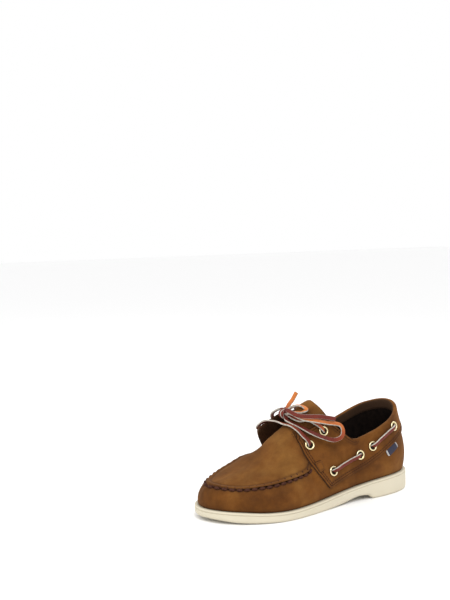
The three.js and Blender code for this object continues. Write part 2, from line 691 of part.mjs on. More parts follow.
// Eyelets sit on the saddle; each is named by its place.
const eyeletProfile = [
  [EYELET_BORE, 0],
  [EYELET_RADIUS, 0],
  [EYELET_RADIUS, EYELET_HEIGHT * 0.4],
  [EYELET_RADIUS - 1, EYELET_HEIGHT],
  [EYELET_BORE + 0.3, EYELET_HEIGHT],
  [EYELET_BORE, 0],
].map(([r, z]) => new THREE.Vector2(r, z));
const ring = new THREE.LatheGeometry(eyeletProfile, RING_SEGMENTS).rotateX(Math.PI / 2);
const saddleFace = grown((i) => saddleUnder(i) + SADDLE_LEATHER);
function eyelet(name, [x, z], side) {
  const { point, normal } = locate(saddleFace, x, z, side);
  const geometry = ring.clone();
  geometry.applyQuaternion(new THREE.Quaternion().setFromUnitVectors(UP, normal));
  geometry.translate(...point.addScaledVector(normal, EYELET_SEAT).toArray());
  add(name, toSolid(geometry), 0xe3cf8a, 0.35, 0.9);
}
const SIDES = { lateral: 1, medial: -1 };
const sideEyelets = {};
const throatEyelets = {};
for (const [word, side] of Object.entries(SIDES)) {
  sideEyelets[word] = onSide(SIDE_EYELETS, side);
  throatEyelets[word] = onSide(THROAT_EYELETS, side);
  throatEyelets[word].forEach((at, i) => eyelet(`eyelet_throat_${word}_${i + 1}`, at, side));
  sideEyelets[word].forEach((at, i) => eyelet(`eyelet_side_${word}_${i + 1}`, at, side));
}

// Lace lying along the side between two eyelets, dipping into both.
const dip = EYELET_SEAT + LACE_THICKNESS / 2;
const bridge = EYELET_SEAT + EYELET_HEIGHT + 2 * CLEARANCE + LACE_THICKNESS / 2;
const BORE_EXIT = 1.7;
function sideLace(name, [x1, z1], [x2, z2], side) {
  const length = Math.hypot(x2 - x1, z2 - z1);
  const points = [];
  const normals = [];
  const exit = BORE_EXIT / length;
  for (const share of [0, exit, 3 * exit, 0.33, 0.5, 0.67, 1 - 3 * exit, 1 - exit, 1]) {
    const spot = locate(saddleFace, x1 + (x2 - x1) * share, z1 + (z2 - z1) * share, side);
    const atEnd = share === 0 || share === 1;
    points.push(spot.point.addScaledVector(spot.normal, atEnd ? dip : bridge));
    normals.push(spot.normal);
  }
  add(name, lace(points, normals), 0x7a3420, 0.6);
}
for (const [word, side] of Object.entries(SIDES)) {
  sideLace(`lace_side_${word}_front`, sideEyelets[word][0], sideEyelets[word][1], side);
  sideLace(`lace_side_${word}_rear`, sideEyelets[word][2], sideEyelets[word][3], side);
}

// Where a lace leaves a throat eyelet: in its bore, then over its rim towards a place.
function throatExit(place, side, towards) {
  const { point, normal } = locate(saddleFace, ...place, side);
  const away = towards.clone().sub(point);
  away.addScaledVector(normal, -away.dot(normal)).normalize();
  return [
    { point: point.clone().addScaledVector(normal, dip), normal },
    { point: point.clone().addScaledVector(away, BORE_EXIT).addScaledVector(normal, bridge), normal },
    { point: point.clone().addScaledVector(away, 3 * BORE_EXIT).addScaledVector(normal, bridge), normal },
  ];
}


// The knot and the cords of the bow, each cord clear of the knot it leaves.
const placed = ({ along, across, up }) =>
  new THREE.Vector3(toX(along), across * BALL_WIDTH, up * INSTEP_HEIGHT);
const knotCentre = placed(KNOT);
const knotShape = new THREE.Vector3(1, 0.9, 0.8).multiplyScalar(KNOT_RADIUS);
const knot = new THREE.SphereGeometry(1, 12, 8);
knot.scale(...knotShape.toArray());
knot.translate(...knotCentre.toArray());
add("lace_knot", toSolid(knot), 0x7a3420, 0.6);
const OUTWARD_FROM = 60;
const outwardAt = (p) => new THREE.Vector3(0, p.y, p.z - OUTWARD_FROM).normalize();
function knotExit(towards) {
  const away = towards.clone().sub(knotCentre).normalize();
  const radius = 1 / away.clone().divide(knotShape).length();
  const point = knotCentre.clone().addScaledVector(away, radius + 2 * CLEARANCE);
  return { point, normal: outwardAt(point) };
}
for (const { name, to, rows } of BOW) {
  const middle = rows.map(placed);
  const start = knotExit(middle[0]);
  const last = middle[middle.length - 1];
  const ends = { knot: () => [knotExit(last)], free: () => [] };
  for (const [word, side] of Object.entries(SIDES)) {
    ends[word] = () => throatExit(throatEyelets[word][1], side, last).reverse();
  }
  const tail = ends[to]();
  const run = to === "knot" ? [start.point, ...middle, tail[0].point] : [start.point, ...middle];
  const points = new THREE.CatmullRomCurve3(run).getPoints((run.length - 1) * 2);
  const spots = points.map((point) => ({ point, normal: outwardAt(point) }));
  if (to !== "knot") spots.push(...tail);
  const cord = lace(spots.map((spot) => spot.point), spots.map((spot) => spot.normal));
  add(`lace_${name}`, cord, 0x7a3420, 0.6);
}

// The lace across the plug, from one front throat eyelet to the other.
const barRows = FRONT_BAR.map(placed).map((point) => ({ point, normal: outwardAt(point) }));
const bar = [
  ...throatExit(throatEyelets.lateral[0], SIDES.lateral, barRows[0].point),
  ...barRows,
  ...throatExit(throatEyelets.medial[0], SIDES.medial, barRows[barRows.length - 1].point).reverse(),
];
add("lace_bar_front", lace(bar.map((row) => row.point), bar.map((row) => row.normal)), 0x7a3420, 0.6);

export default shoe;
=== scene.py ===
"""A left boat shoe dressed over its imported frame: leather, rubber, metal and lace.

Sizes are in millimetres until a mesh is made, and meshes are in metres. X points to the
toe, Y to the outer side of the foot and Z up.
"""

import math

import bpy
import numpy as np
from mathutils import Matrix, Vector
from mathutils.kdtree import KDTree


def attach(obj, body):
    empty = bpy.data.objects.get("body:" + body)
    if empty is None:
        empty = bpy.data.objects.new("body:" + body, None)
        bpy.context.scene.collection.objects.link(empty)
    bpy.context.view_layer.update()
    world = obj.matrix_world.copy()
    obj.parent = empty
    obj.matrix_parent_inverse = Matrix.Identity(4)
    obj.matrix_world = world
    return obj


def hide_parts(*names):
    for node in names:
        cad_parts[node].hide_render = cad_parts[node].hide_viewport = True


MM = 0.001

# Driving sizes, as in the part
SOLE_LENGTH = 262
BALL_WIDTH = 97
HEEL_CENTRE = 31
HEEL_STACK = 21
TOE_SPRING = 9
SOLE_EDGE = 3.6
INSTEP_HEIGHT = 82
WALL_INSET = 11
UPPER_WALL = 2
SADDLE_LEATHER = 1.8
CLEARANCE = 0.3
SEAT_GAP = 0.45
TOPLINE_TILT = 0.16
TILT_AXIS = 25
SADDLE_LIFT = 13
TAB_LEATHER = 1.4
BOW_AXIS_HEIGHT = 60

# Sizes of the dressed leather and lace; the solids have others, or none
MEDIAL_REACH = 18
SADDLE_FRONT_WIDTH = 7.5
SADDLE_TOP_SHARE = 1.76
TONGUE_SHOULDER = 4
TAG_THICKNESS = 1.0
STRIP_RISE = 2.1
LACE_WIDTH = 4.4
LACE_THICKNESS = 1.9
LACE_OVER_SADDLE = 2.3
SIDE_LACE_ROLL = 0.45
LEATHER_GAP = 0.15

# Where the inner saddle begins to lift and to reach forward, as shares of length and instep
LIFT_ALONG = 0.45
LIFT_RISE = (0.5, 0.85)
REACH_ALONG = (0.4, 0.54)

# Reach of the sections' control points, as shares of the wall's height and of the half roof
WALL_REACH = 0.4
ROOF_REACH = 0.38

# Outline of the sole: along, lateral, medial
OUTLINE = [
    (0.0, 0.0, 0.0), (0.018, 0.16, 0.16), (0.06, 0.268, 0.268), (0.12, 0.333, 0.333),
    (0.2, 0.365, 0.355), (0.3, 0.368, 0.335), (0.4, 0.38, 0.312), (0.5, 0.42, 0.325),
    (0.6, 0.47, 0.39), (0.68, 0.497, 0.452), (0.75, 0.492, 0.49), (0.82, 0.44, 0.492),
    (0.89, 0.345, 0.445), (0.945, 0.225, 0.355), (0.985, 0.075, 0.23), (1.0, -0.08, 0.08),
]

# Heights of the sole: along, tread, top
SOLE_RISE = [
    (0.0, 0.55, 1.0), (0.035, 0.0, 1.0), (0.15, 0.0, 0.97), (0.255, 0.0, 0.9),
    (0.285, 0.5, 0.86), (0.33, 0.62, 0.8), (0.43, 0.2, 0.66), (0.54, 0.0, 0.53),
    (0.7, 0.0, 0.45), (0.8, 0.06, 0.48), (0.9, 0.19, 0.57), (1.0, 0.5, 0.61),
]

# Sections of the last: along, seam, medial, inset, flare, lean, rise, crown, shift
SECTIONS = [
    (0.0, 1.18, 0, 0.95, 15, 8, 82, 0.8, 0),
    (0.15, 1.16, 0.04, 0.55, 10, 8, 82, 0.8, 0.02),
    (0.3, 1.1, 0.06, 0.72, 8, 10, 80, 1.0, 0.05),
    (0.4, 0.96, 0.08, 0.95, 8, 14, 76, 1.55, 0.1),
    (0.5, 0.74, 0.1, 1.0, 10, 22, 68, 1.8, 0.15),
    (0.58, 0.49, 0.14, 0.78, 12, 32, 62, 1.4, 0.17),
    (0.64, 0.455, 0.17, 0.76, 13, 38, 54, 0.94, 0.16),
    (0.72, 0.425, 0.16, 0.76, 13, 42, 36, 0.36, 0.12),
    (0.8, 0.395, 0.11, 0.8, 13, 45, 24, 0.21, 0.08),
    (0.9, 0.375, 0.055, 0.8, 12, 48, 20, 0.18, 0.04),
    (1.0, 0.4, 0, 0.6, 12, 50, 16, 0.2, 0),
]

# Shapes seen from the side, in millimetres at the outer side of the foot: X, Z
UPPER_EDGE = [
    (-60, 95), (-31, 95), (-18, 90.5), (-5, 85), (12, 79), (28, 73.5), (44, 69), (55, 66.5),
    (62, 66), (75, 68.5), (90, 69.5), (104, 67), (114, 62), (118, 58),
]
SADDLE_TOP = [
    (-60, 95.6), (-31, 95.6), (-18, 91.1), (-5, 85.6), (12, 79.6), (28, 74.1), (44, 69.6),
    (55, 67), (60, 67.2), (66, 71), (74, 78), (82, 85), (88, 88.5), (95, 88.5), (104, 84.5),
    (112, 81), (121, 78.5), (124, 76.2), (125, 73), (125.8, 150),
]
SADDLE_FOOT = [
    (-60, 68), (-31, 68), (-22, 66.5), (-10, 63), (8, 56), (28, 46.5), (46, 39), (62, 34),
    (80, 29), (97, 24.4), (100, 24.8), (105, 31), (112, 40.5), (118, 50), (122.5, 59),
    (125, 70), (125.8, 150),
]
TONGUE_TOP = [(80, 60), (80, 82), (86, 92), (93, 104), (98, 140)]
SEAM_TAB = [(115, 51), (106, 53), (104, 44), (111, 41)]
TAG = [(19, 51), (2, 58), (-3, 51), (14, 43)]
THROAT_FRONT = 118
NOTCH = 60
MEDIAL_SEAM = 26
HEEL_STRIP = (26, 65.5)
HEEL_STRIP_WIDTH = 11

# The stitched moccasin seam, and where it takes over from the throat's cut edge
SEAM_PITCH = 7.6
SEAM_THREAD = 1.5
SEAM_START = (112, 120)

# The saddle's stitches
STITCH_LENGTH = 2.1
STITCH_GAP = 1.1
STITCH_ROWS = (2.7, 5.1)

UP = np.array([0.0, 0.0, 1.0])

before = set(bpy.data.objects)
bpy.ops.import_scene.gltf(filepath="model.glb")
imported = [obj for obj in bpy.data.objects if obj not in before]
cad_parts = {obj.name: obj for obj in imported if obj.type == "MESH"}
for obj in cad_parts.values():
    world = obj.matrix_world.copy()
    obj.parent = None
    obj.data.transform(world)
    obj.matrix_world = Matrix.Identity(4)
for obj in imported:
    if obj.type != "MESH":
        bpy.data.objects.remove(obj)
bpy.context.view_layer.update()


# The last
def column(rows, index):
    """A smooth curve through one column of a table that keeps level stretches level."""
    xs = np.array([row[0] for row in rows], float)
    ys = np.array([row[index] for row in rows], float)
    rise = np.diff(ys) / np.diff(xs)
    slopes = np.zeros(len(xs))
    for i in range(1, len(xs) - 1):
        if rise[i - 1] * rise[i] > 0:
            slopes[i] = 2 * rise[i - 1] * rise[i] / (rise[i - 1] + rise[i])

    def curve(along):
        a = np.clip(along, xs[0], xs[-1])
        i = np.clip(np.searchsorted(xs, a, side="right") - 1, 0, len(xs) - 2)
        span = xs[i + 1] - xs[i]
        t = (a - xs[i]) / span
        return (
            (2 * t**3 - 3 * t**2 + 1) * ys[i]
            + (t**3 - 2 * t**2 + t) * span * slopes[i]
            + (3 * t**2 - 2 * t**3) * ys[i + 1]
            + (t**3 - t**2) * span * slopes[i + 1]
        )

    return curve


tread_share = column(SOLE_RISE, 1)
top_share = column(SOLE_RISE, 2)
SECTION_KEYS = ["seam", "medial", "inset", "flare", "lean", "rise", "crown", "shift"]
section = {key: column(SECTIONS, i + 1) for i, key in enumerate(SECTION_KEYS)}
CONTROL = np.array(
    [(a * SOLE_LENGTH - HEEL_CENTRE, BALL_WIDTH * lateral) for a, lateral, _ in OUTLINE]
    + [(a * SOLE_LENGTH - HEEL_CENTRE, -BALL_WIDTH * m) for a, _, m in OUTLINE[-2:0:-1]]
)


def along_of(x):
    return (x + HEEL_CENTRE) / SOLE_LENGTH


def sole_top(x):
    return top_share(along_of(x)) * HEEL_STACK


def sole_tread(x):
    return tread_share(along_of(x)) * TOE_SPRING


def smooth(value, start, end):
    t = np.clip((value - start) / (end - start), 0, 1)
    return t * t * (3 - 2 * t)


def unit(v):
    return v / np.maximum(np.linalg.norm(v, axis=-1, keepdims=True), 1e-9)


def bell(value, middle, width):
    return np.exp(-(((value - middle) / width) ** 2))


def through(p0, p1, p2, p3, w):
    """Points of a smooth curve through four points, between the second and the third."""
    d0, d1, d2 = (
        np.linalg.norm(b - a, axis=-1, keepdims=True) ** 0.5
        for a, b in ((p0, p1), (p1, p2), (p2, p3))
    )
    t1 = ((p1 - p0) / d0 - (p2 - p0) / (d0 + d1) + (p2 - p1) / d1) * d1
    t2 = ((p2 - p1) / d1 - (p3 - p1) / (d1 + d2) + (p3 - p2) / d2) * d1
    cubic = 2 * p1 - 2 * p2 + t1 + t2
    return p1 + t1 * w + (3 * p2 - 3 * p1 - 2 * t1 - t2) * w**2 + cubic * w**3


def outline_curve(t):
    """The sole's outline as a closed curve, from the heel out along the outer side."""
    count = len(CONTROL)
    place = (t % 1.0) * count
    i = np.floor(place).astype(int)
    return through(*(CONTROL[(i + k) % count] for k in (-1, 0, 1, 2)), (place - i)[..., None])


def outline_at(u, inset):
    """Points on the outline at the loop's parameter u: 0 heel, 1 toe, then back inside."""
    step = 1e-4
    tangent = unit(outline_curve(u / 2 + step) - outline_curve(u / 2 - step))
    outward = np.stack([-tangent[..., 1], tangent[..., 0]], -1)
    return outline_curve(u / 2) - outward * inset, outward


def bezier(controls, t):
    t = t[..., None]
    a, b, c, d = controls
    return a * (1 - t) ** 3 + 3 * b * (1 - t) ** 2 * t + 3 * c * (1 - t) * t**2 + d * t**3


def rib(u):
    """The wall of the last at u: controls from the feather edge to the seam line."""
    u = u % 2
    flat, outward = outline_at(u, SOLE_EDGE + UPPER_WALL)
    along = along_of(flat[..., 0])
    out = np.concatenate([outward, np.zeros(u.shape + (1,))], -1)
    foot = np.concatenate([flat, (sole_top(flat[..., 0]) + SEAT_GAP)[..., None]], -1)
    top = foot - out * (section["inset"](along) * WALL_INSET)[..., None]
    extra = np.where(u > 1, section["medial"](along), 0.0)
    top[..., 2] = (section["seam"](along) + extra) * INSTEP_HEIGHT
    reach = ((top[..., 2] - foot[..., 2]) * WALL_REACH)[..., None]
    flare = np.radians(section["flare"](along))[..., None]
    lean = np.radians(section["lean"](along))[..., None]
    start = foot + UP * reach * np.cos(flare) + out * reach * np.sin(flare)
    end = top - UP * reach * np.cos(lean) + out * reach * np.sin(lean)
    return foot, start, end, top


def roof(u):
    """Half of the last's top at u: controls from the seam line to the ridge."""
    u = u % 2
    side = np.where(u > 1, -1.0, 1.0)
    near = rib(u)[3]
    far = rib((2 - u) % 2)[3]
    along = along_of((near[..., 0] + far[..., 0]) / 2)
    share = (0.5 + side * section["shift"](along))[..., None]
    ridge = near + (far - near) * share
    span = (far - near) * np.array([1.0, 1.0, 0.0])
    width = np.linalg.norm(span, axis=-1)
    ridge[..., 2] = (near[..., 2] + far[..., 2]) / 2 + section["crown"](along) * width / 2
    inward = unit(span)
    reach = (np.linalg.norm(ridge - near, axis=-1) * ROOF_REACH)[..., None]
    rise = np.radians(section["rise"](along))[..., None]
    start = near + inward * reach * np.cos(rise) + UP * reach * np.sin(rise)
    end = ridge - inward * reach
    return near, start, end, ridge


def last(u, t):
    """The last's surface: t is 0 at the sole, 1 at the seam line and 2 on the ridge."""
    u, t = np.asarray(u, float), np.asarray(t, float)
    wall = bezier(rib(u), np.clip(t, 0, 1))
    near = bezier(roof(u), np.clip(t - 1, 0, 1))
    far = bezier(roof(2 - u), np.clip(3 - t, 0, 1))
    share = np.broadcast_to(t, wall.shape[:-1])[..., None]
    return np.where(share > 2, far, np.where(share > 1, near, wall))


def skin(u, t, offset=0.0):
    """The last grown outward by an offset, with its outward normals."""
    du, dt = 0.004, 0.03
    u, t = np.asarray(u, float), np.asarray(t, float)
    low = np.maximum(t - dt, 0)
    normal = unit(np.cross(last(u, t + dt) - last(u, low), last(u + du, t) - last(u - du, t)))
    offset = np.broadcast_to(np.asarray(offset, float), normal.shape[:-1])
    return last(u, t) + normal * offset[..., None], normal


def saddle_lift(p):
    """How far the saddle's inner front stands off the foot."""
    rise = smooth(along_of(p[..., 0]), LIFT_ALONG, along_of(THROAT_FRONT))
    rise = rise * smooth(p[..., 2] / INSTEP_HEIGHT, *LIFT_RISE)
    return np.where(p[..., 1] < 0, SADDLE_LIFT * rise, 0)


def saddle_skin(u, t, offset):
    """The skin with the saddle's lift added."""
    return skin(u, t, offset + saddle_lift(last(u, t)))


def inner_reach(edge):
    """An edge of the saddle as it lies at the inner side, where the saddle reaches further."""
    return [(x + MEDIAL_REACH * float(smooth(along_of(x), *REACH_ALONG)), z) for x, z in edge]


def side_height(p):
    """Height carried to the outer side of the foot along the topline's tilt."""
    return p[..., 2] + TOPLINE_TILT * (p[..., 1] - TILT_AXIS)


T_DENSE = np.linspace(0, 2, 181)


def crossing(u, edge, offset=0.0, surface=skin, inner=None):
    """Where each rib first rises over an edge that is drawn from the side."""
    p, _ = surface(u[:, None], T_DENSE[None, :], offset)
    level = np.interp(p[..., 0], *np.array(edge, float).T)
    if inner:
        level = np.where(p[..., 1] < 0, np.interp(p[..., 0], *np.array(inner, float).T), level)
    above = side_height(p) - level
    found = np.full(len(u), 2.0)
    for i, row in enumerate(above):
        k = int(np.argmax(row > 0))
        if row[k] > 0 and k > 0:
            found[i] = np.interp(0, row[k - 1 : k + 1], T_DENSE[k - 1 : k + 1])
    return found


def arcs(u):
    """Length along each rib up to each dense t."""
    steps = np.linalg.norm(np.diff(last(u[:, None], T_DENSE[None, :]), axis=1), axis=-1)
    return np.concatenate([np.zeros((len(u), 1)), np.cumsum(steps, axis=1)], axis=1)


def rows_between(u, low, high, near, middle):
    """Rows of t from low to high: closely spaced at distances near each edge, then even."""
    lengths = arcs(u)
    rows = []
    for i in range(len(u)):
        a, b = np.interp([low[i], high[i]], T_DENSE, lengths[i])
        edge = np.array(near) * min(1, (b - a) / (3 * near[-1]))
        inner = np.linspace(a + edge[-1], b - edge[-1], middle + 2)[1:-1]
        where = np.concatenate([a + edge, inner, b - edge[::-1]])
        rows.append(np.interp(where, lengths[i], T_DENSE))
    return np.array(rows)


def loop_at(x, medial=False, t=0.8):
    """The loop's parameter where a side of the foot reaches X."""
    u = np.linspace(0.02, 0.98, 700)
    xs = last(2 - u if medial else u, t)[:, 0]
    found = float(np.interp(x, xs, u))
    return 2 - found if medial else found


# Building pieces
def grid_faces(rows, columns, closed_rows=False, closed_columns=False):
    """Quads of a grid of points listed row by row."""
    faces = []
    for i in range(rows if closed_rows else rows - 1):
        a = i * columns
        b = ((i + 1) % rows) * columns
        for j in range(columns if closed_columns else columns - 1):
            k = (j + 1) % columns
            faces.append((a + j, a + k, b + k, b + j))
    return faces


def piece(name, points, faces, materials, replaces=(), marks=None, face_material=None):
    """A mesh piece in metres that rides on the shoe."""
    mesh = bpy.data.meshes.new(name)
    mesh.from_pydata((np.asarray(points).reshape(-1, 3) * MM).tolist(), [], faces)
    for material in materials if isinstance(materials, list) else [materials]:
        mesh.materials.append(material)
    mesh.polygons.foreach_set("use_smooth", [True] * len(mesh.polygons))
    if face_material is not None:
        mesh.polygons.foreach_set("material_index", face_material)
    for key, values in (marks or {}).items():
        attribute = mesh.attributes.new(key, "FLOAT", "POINT")
        attribute.data.foreach_set("value", np.asarray(values, np.float32).ravel())
    mesh.update()
    made = bpy.data.objects.new(name, mesh)
    bpy.context.scene.collection.objects.link(made)
    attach(made, "root")
    if replaces:
        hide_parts(*replaces)
    return made


def resample(points, step):
    """The same line with points a fixed step apart."""
    points = np.asarray(points, float)
    length = np.concatenate([[0], np.cumsum(np.linalg.norm(np.diff(points, axis=0), axis=1))])
    count = max(2, int(round(length[-1] / step)) + 1)
    where = np.linspace(0, length[-1], count)
    return np.stack([np.interp(where, length, points[:, k]) for k in range(points.shape[1])], -1)


def smooth_line(points, step=1.0):
    """A smooth line through points, resampled."""
    p = np.asarray(points, float)
    p = np.vstack([2 * p[0] - p[1], p, 2 * p[-1] - p[-2]])
    w = np.linspace(0, 1, 12, endpoint=False)[:, None]
    made = [through(*p[i - 1 : i + 3], w) for i in range(1, len(p) - 2)]
    return resample(np.concatenate([*made, p[-2:-1]]), step)


def tree_of(points):
    """A search tree over points."""
    tree = KDTree(len(points))
    for i, p in enumerate(points):
        tree.insert(p, i)
    tree.balance()
    return tree


def distance_to(points, line):
    """Distance of each point to a line of points."""
    tree = tree_of(line)
    return np.array([tree.find(p)[2] for p in points.reshape(-1, 3)]).reshape(points.shape[:-1])


def capsules(centres, along, normals, length, radius, arch=0.5, sides=8):
    """Short threads: points and faces of a capsule at each centre, arched off the surface."""
    stops = np.array([-1, -0.86, -0.5, 0, 0.5, 0.86, 1])
    girth = np.array([0.3, 0.72, 0.96, 1, 0.96, 0.72, 0.3])
    angle = np.linspace(0, 2 * math.pi, sides, endpoint=False)
    points = []
    faces = []
    for c, a, n in zip(centres, unit(np.asarray(along)), unit(np.asarray(normals))):
        side = unit(np.cross(n, a))
        start = len(points)
        for s, g in zip(stops, girth):
            middle = c + a * s * length / 2 + n * radius * arch * (1 - 2 * s * s)
            for v in angle:
                points.append(middle + (side * math.cos(v) + n * math.sin(v)) * g * radius)
        for f in grid_faces(len(stops), sides, closed_columns=True):
            faces.append(tuple(start + k for k in f))
        faces.append(tuple(start + k for k in reversed(range(sides))))
        faces.append(tuple(start + (len(stops) - 1) * sides + k for k in range(sides)))
    return np.array(points), [f[::-1] for f in faces]


# A flat lace's section, and which of its faces are the cut edges
LACE_SECTION = np.array([
    (-1, -0.45), (-0.93, -0.85), (-0.8, -1), (0, -1.06), (0.8, -1), (0.93, -0.85), (1, -0.45),
    (1, 0.45), (0.93, 0.85), (0.8, 1), (0, 1.06), (-0.8, 1), (-0.93, 0.85), (-1, 0.45),
]) * (LACE_WIDTH / 2, LACE_THICKNESS / 2)
LACE_EDGES = {0, 5, 6, 7, 12, 13}


def band(path, normals):
    """A flat lace along a path: points, faces and which faces are its cut edges."""
    tangent = unit(np.gradient(path, axis=0))
    across = unit(np.cross(tangent, normals))[:, None]
    up = unit(np.cross(across[:, 0], tangent))[:, None]
    points = path[:, None] + across * LACE_SECTION[None, :, :1] + up * LACE_SECTION[None, :, 1:]
    count = len(LACE_SECTION)
    faces = grid_faces(len(path), count, closed_columns=True)
    kinds = [int(k % count in LACE_EDGES) for k in range(len(faces))]
    ends = [range(count), reversed(range((len(path) - 1) * count, len(path) * count))]
    faces += [tuple(end) for end in ends]
    return points.reshape(-1, 3), [f[::-1] for f in faces], kinds + [1, 1]


# Materials
class Shader:
    """Short names for building a material's nodes."""

    def __init__(self, name):
        self.material = bpy.data.materials.new(name)
        self.material.use_nodes = True
        self.tree = self.material.node_tree
        self.surface = self.tree.nodes["Principled BSDF"]
        self.place = self.tree.nodes.new("ShaderNodeTexCoord").outputs["Object"]

    def put(self, socket, value):
        if isinstance(value, bpy.types.NodeSocket):
            self.tree.links.new(value, socket)
        else:
            socket.default_value = value

    def fill(self, node, values):
        for key, value in values.items():
            self.put(node.inputs[key.replace("_", " ")], value)

    def set(self, **values):
        self.fill(self.surface, values)

    def node(self, kind, **values):
        made = self.tree.nodes.new("ShaderNode" + kind)
        self.fill(made, values)
        return made

    def noise(self, scale, detail=3, roughness=0.55, stretch=None):
        place = self.place
        if stretch is not None:
            place = self.node("Mapping", Vector=place, Scale=stretch).outputs["Vector"]
        made = self.node("TexNoise", Vector=place, Scale=scale, Detail=detail, Roughness=roughness)
        return made.outputs["Fac"]

    def mark(self, name):
        node = self.node("Attribute")
        node.attribute_name = name
        return node.outputs["Fac"]

    def ramp(self, source, stops):
        node = self.node("ValToRGB", Fac=source)
        ramp = node.color_ramp
        while len(ramp.elements) < len(stops):
            ramp.elements.new(0.5)
        for element, (place, colour) in zip(ramp.elements, stops):
            element.position = place
            element.color = (*colour, 1) if isinstance(colour, tuple) else (colour,) * 3 + (1,)
        return node.outputs["Color"]

    def mix(self, factor, a, b, kind="MIX"):
        node = self.node("Mix")
        node.data_type = "RGBA"
        node.blend_type = kind
        self.put(node.inputs[0], factor)
        for socket, value in ((node.inputs[6], a), (node.inputs[7], b)):
            self.put(socket, (*value, 1) if isinstance(value, tuple) else value)
        return node.outputs[2]

    def maths(self, kind, a, b):
        node = self.node("Math")
        node.operation = kind
        self.put(node.inputs[0], a)
        self.put(node.inputs[1], b)
        return node.outputs[0]

    def bump(self, height, strength, distance, **under):
        """A bump's normal, over another one where Normal is given."""
        node = self.node("Bump", Height=height, Strength=strength, Distance=distance, **under)
        return node.outputs["Normal"]


def nubuck(name, light, middle, dark, edge):
    """Brushed leather: cloudy colour, a fine nap, and painted shade, with some wear, where it is marked."""
    s = Shader(name)
    cloud = s.ramp(s.noise(24, 5, 0.6), [(0.3, dark), (0.5, middle), (0.72, light)])
    smear = s.ramp(s.noise(60, 4, 0.6, (0.5, 1.2, 1.0)), [(0.35, 0.78), (0.65, 1.12)])
    nap = s.ramp(s.noise(1500, 2, 0.7), [(0.25, 0.86), (0.75, 1.1)])
    colour = s.mix(0.75, cloud, smear, "MULTIPLY")
    colour = s.mix(0.8, colour, nap, "MULTIPLY")
    # Painted shade, with some wear: marked places turn towards the last, darkest colour
    colour = s.mix(s.mark("shade_and_wear"), colour, edge)
    grain = s.bump(s.noise(1900, 3, 0.6), 0.22, 0.0003)
    relief = s.bump(s.noise(240, 4, 0.55), 0.2, 0.0007, Normal=grain)
    s.set(Base_Color=colour, Roughness=s.ramp(s.noise(90), [(0.3, 0.82), (0.7, 0.95)]), Normal=relief,
          Sheen_Weight=0.12, Sheen_Roughness=0.5, Sheen_Tint=(0.8, 0.48, 0.24, 1),
          Specular_IOR_Level=0.12)
    return s.material


def rubber():
    s = Shader("rubber_cream")
    colour = s.mix(s.noise(30, 4), (0.57, 0.515, 0.39), (0.63, 0.575, 0.45))
    # Painted shade, with some wear: marked places turn dark brown, in the tread's grooves and under the
    # upper
    colour = s.mix(s.mark("shade_and_wear"), colour, (0.28, 0.23, 0.15))
    s.set(Base_Color=colour, Roughness=0.62, Normal=s.bump(s.noise(900, 3), 0.1, 0.0003),
          Specular_IOR_Level=0.3)
    return s.material


def lace_leather():
    s = Shader("lace_leather")
    # Painted highlight: the lace turns from its own burgundy to a lit orange where marked, plus random tone
    highlight_pull = s.maths("ADD", s.mark("painted_highlight"), s.maths("MULTIPLY", s.noise(160, 4), 0.34))
    colour = s.ramp(highlight_pull, [(0.12, (0.085, 0.012, 0.008)), (0.3, (0.15, 0.022, 0.011)),
                           (0.62, (0.3, 0.06, 0.014)), (0.95, (0.52, 0.16, 0.035))])
    fleck = s.ramp(s.noise(900, 3), [(0.3, 0.8), (0.7, 1.15)])
    s.set(Base_Color=s.mix(0.6, colour, fleck, "MULTIPLY"), Roughness=0.58,
          Normal=s.bump(s.noise(700, 4), 0.18, 0.0004), Specular_IOR_Level=0.22)
    return s.material


def plain(name, colour, other, roughness, scale=300, strength=0.15, metallic=0.0):
    """A finish of two close colours with a fine uneven surface."""
    s = Shader(name)
    blend = s.ramp(s.noise(scale, 4), [(0.35, colour), (0.65, other)])
    s.set(Base_Color=blend, Roughness=roughness, Metallic=metallic,
          Normal=s.bump(s.noise(scale * 2, 3), strength, 0.0003),
          Specular_IOR_Level=0.5 if metallic else 0.12)
    return s.material


def woven(name, warp, weft):
    """Plain woven cloth of two close colours."""
    s = Shader(name)
    waves = []
    for direction in ("X", "Z"):
        node = s.node("TexWave", Vector=s.place, Scale=420)
        node.bands_direction = direction
        waves.append(node.outputs["Fac"])
    weave = s.maths("MULTIPLY", waves[0], waves[1])
    s.set(Base_Color=s.mix(weave, warp, weft), Roughness=0.85, Normal=s.bump(weave, 0.5, 0.0003))
    return s.material


# The last colour of each leather is the painted shade, with some wear, that its marked places turn towards
NUBUCK = nubuck("nubuck_brown", (0.205, 0.085, 0.017), (0.13, 0.046, 0.0078),
                (0.066, 0.021, 0.0038), (0.018, 0.006, 0.003))
PLUG = nubuck("nubuck_plug", (0.205, 0.09, 0.02), (0.135, 0.05, 0.0095),
              (0.074, 0.025, 0.0052), (0.02, 0.007, 0.004))
# A darker, shaded copy of the nubuck for the inside of the collar
COLLAR_SHADE = nubuck("nubuck_collar_shaded", (0.085, 0.044, 0.022), (0.055, 0.028, 0.014),
                (0.036, 0.018, 0.009), (0.018, 0.008, 0.005))
RUBBER = rubber()
LACE = lace_leather()
LACE_EDGE = plain("lace_cut_edge", (0.34, 0.31, 0.26), (0.52, 0.49, 0.43), 0.8, 500, 0.3)
LINING = plain("lining", (0.004, 0.002, 0.0015), (0.01, 0.0055, 0.0038), 1.0, 200)
THREAD = plain("seam_thread", (0.03, 0.01, 0.006), (0.075, 0.026, 0.015), 0.7, 1200, 0.4)
STITCH = plain("saddle_thread", (0.03, 0.009, 0.004), (0.06, 0.018, 0.007), 0.65, 900, 0.3)
METAL = plain("eyelet_gold", (0.78, 0.66, 0.36), (0.86, 0.76, 0.48), 0.27, 60, 0.03, 1.0)
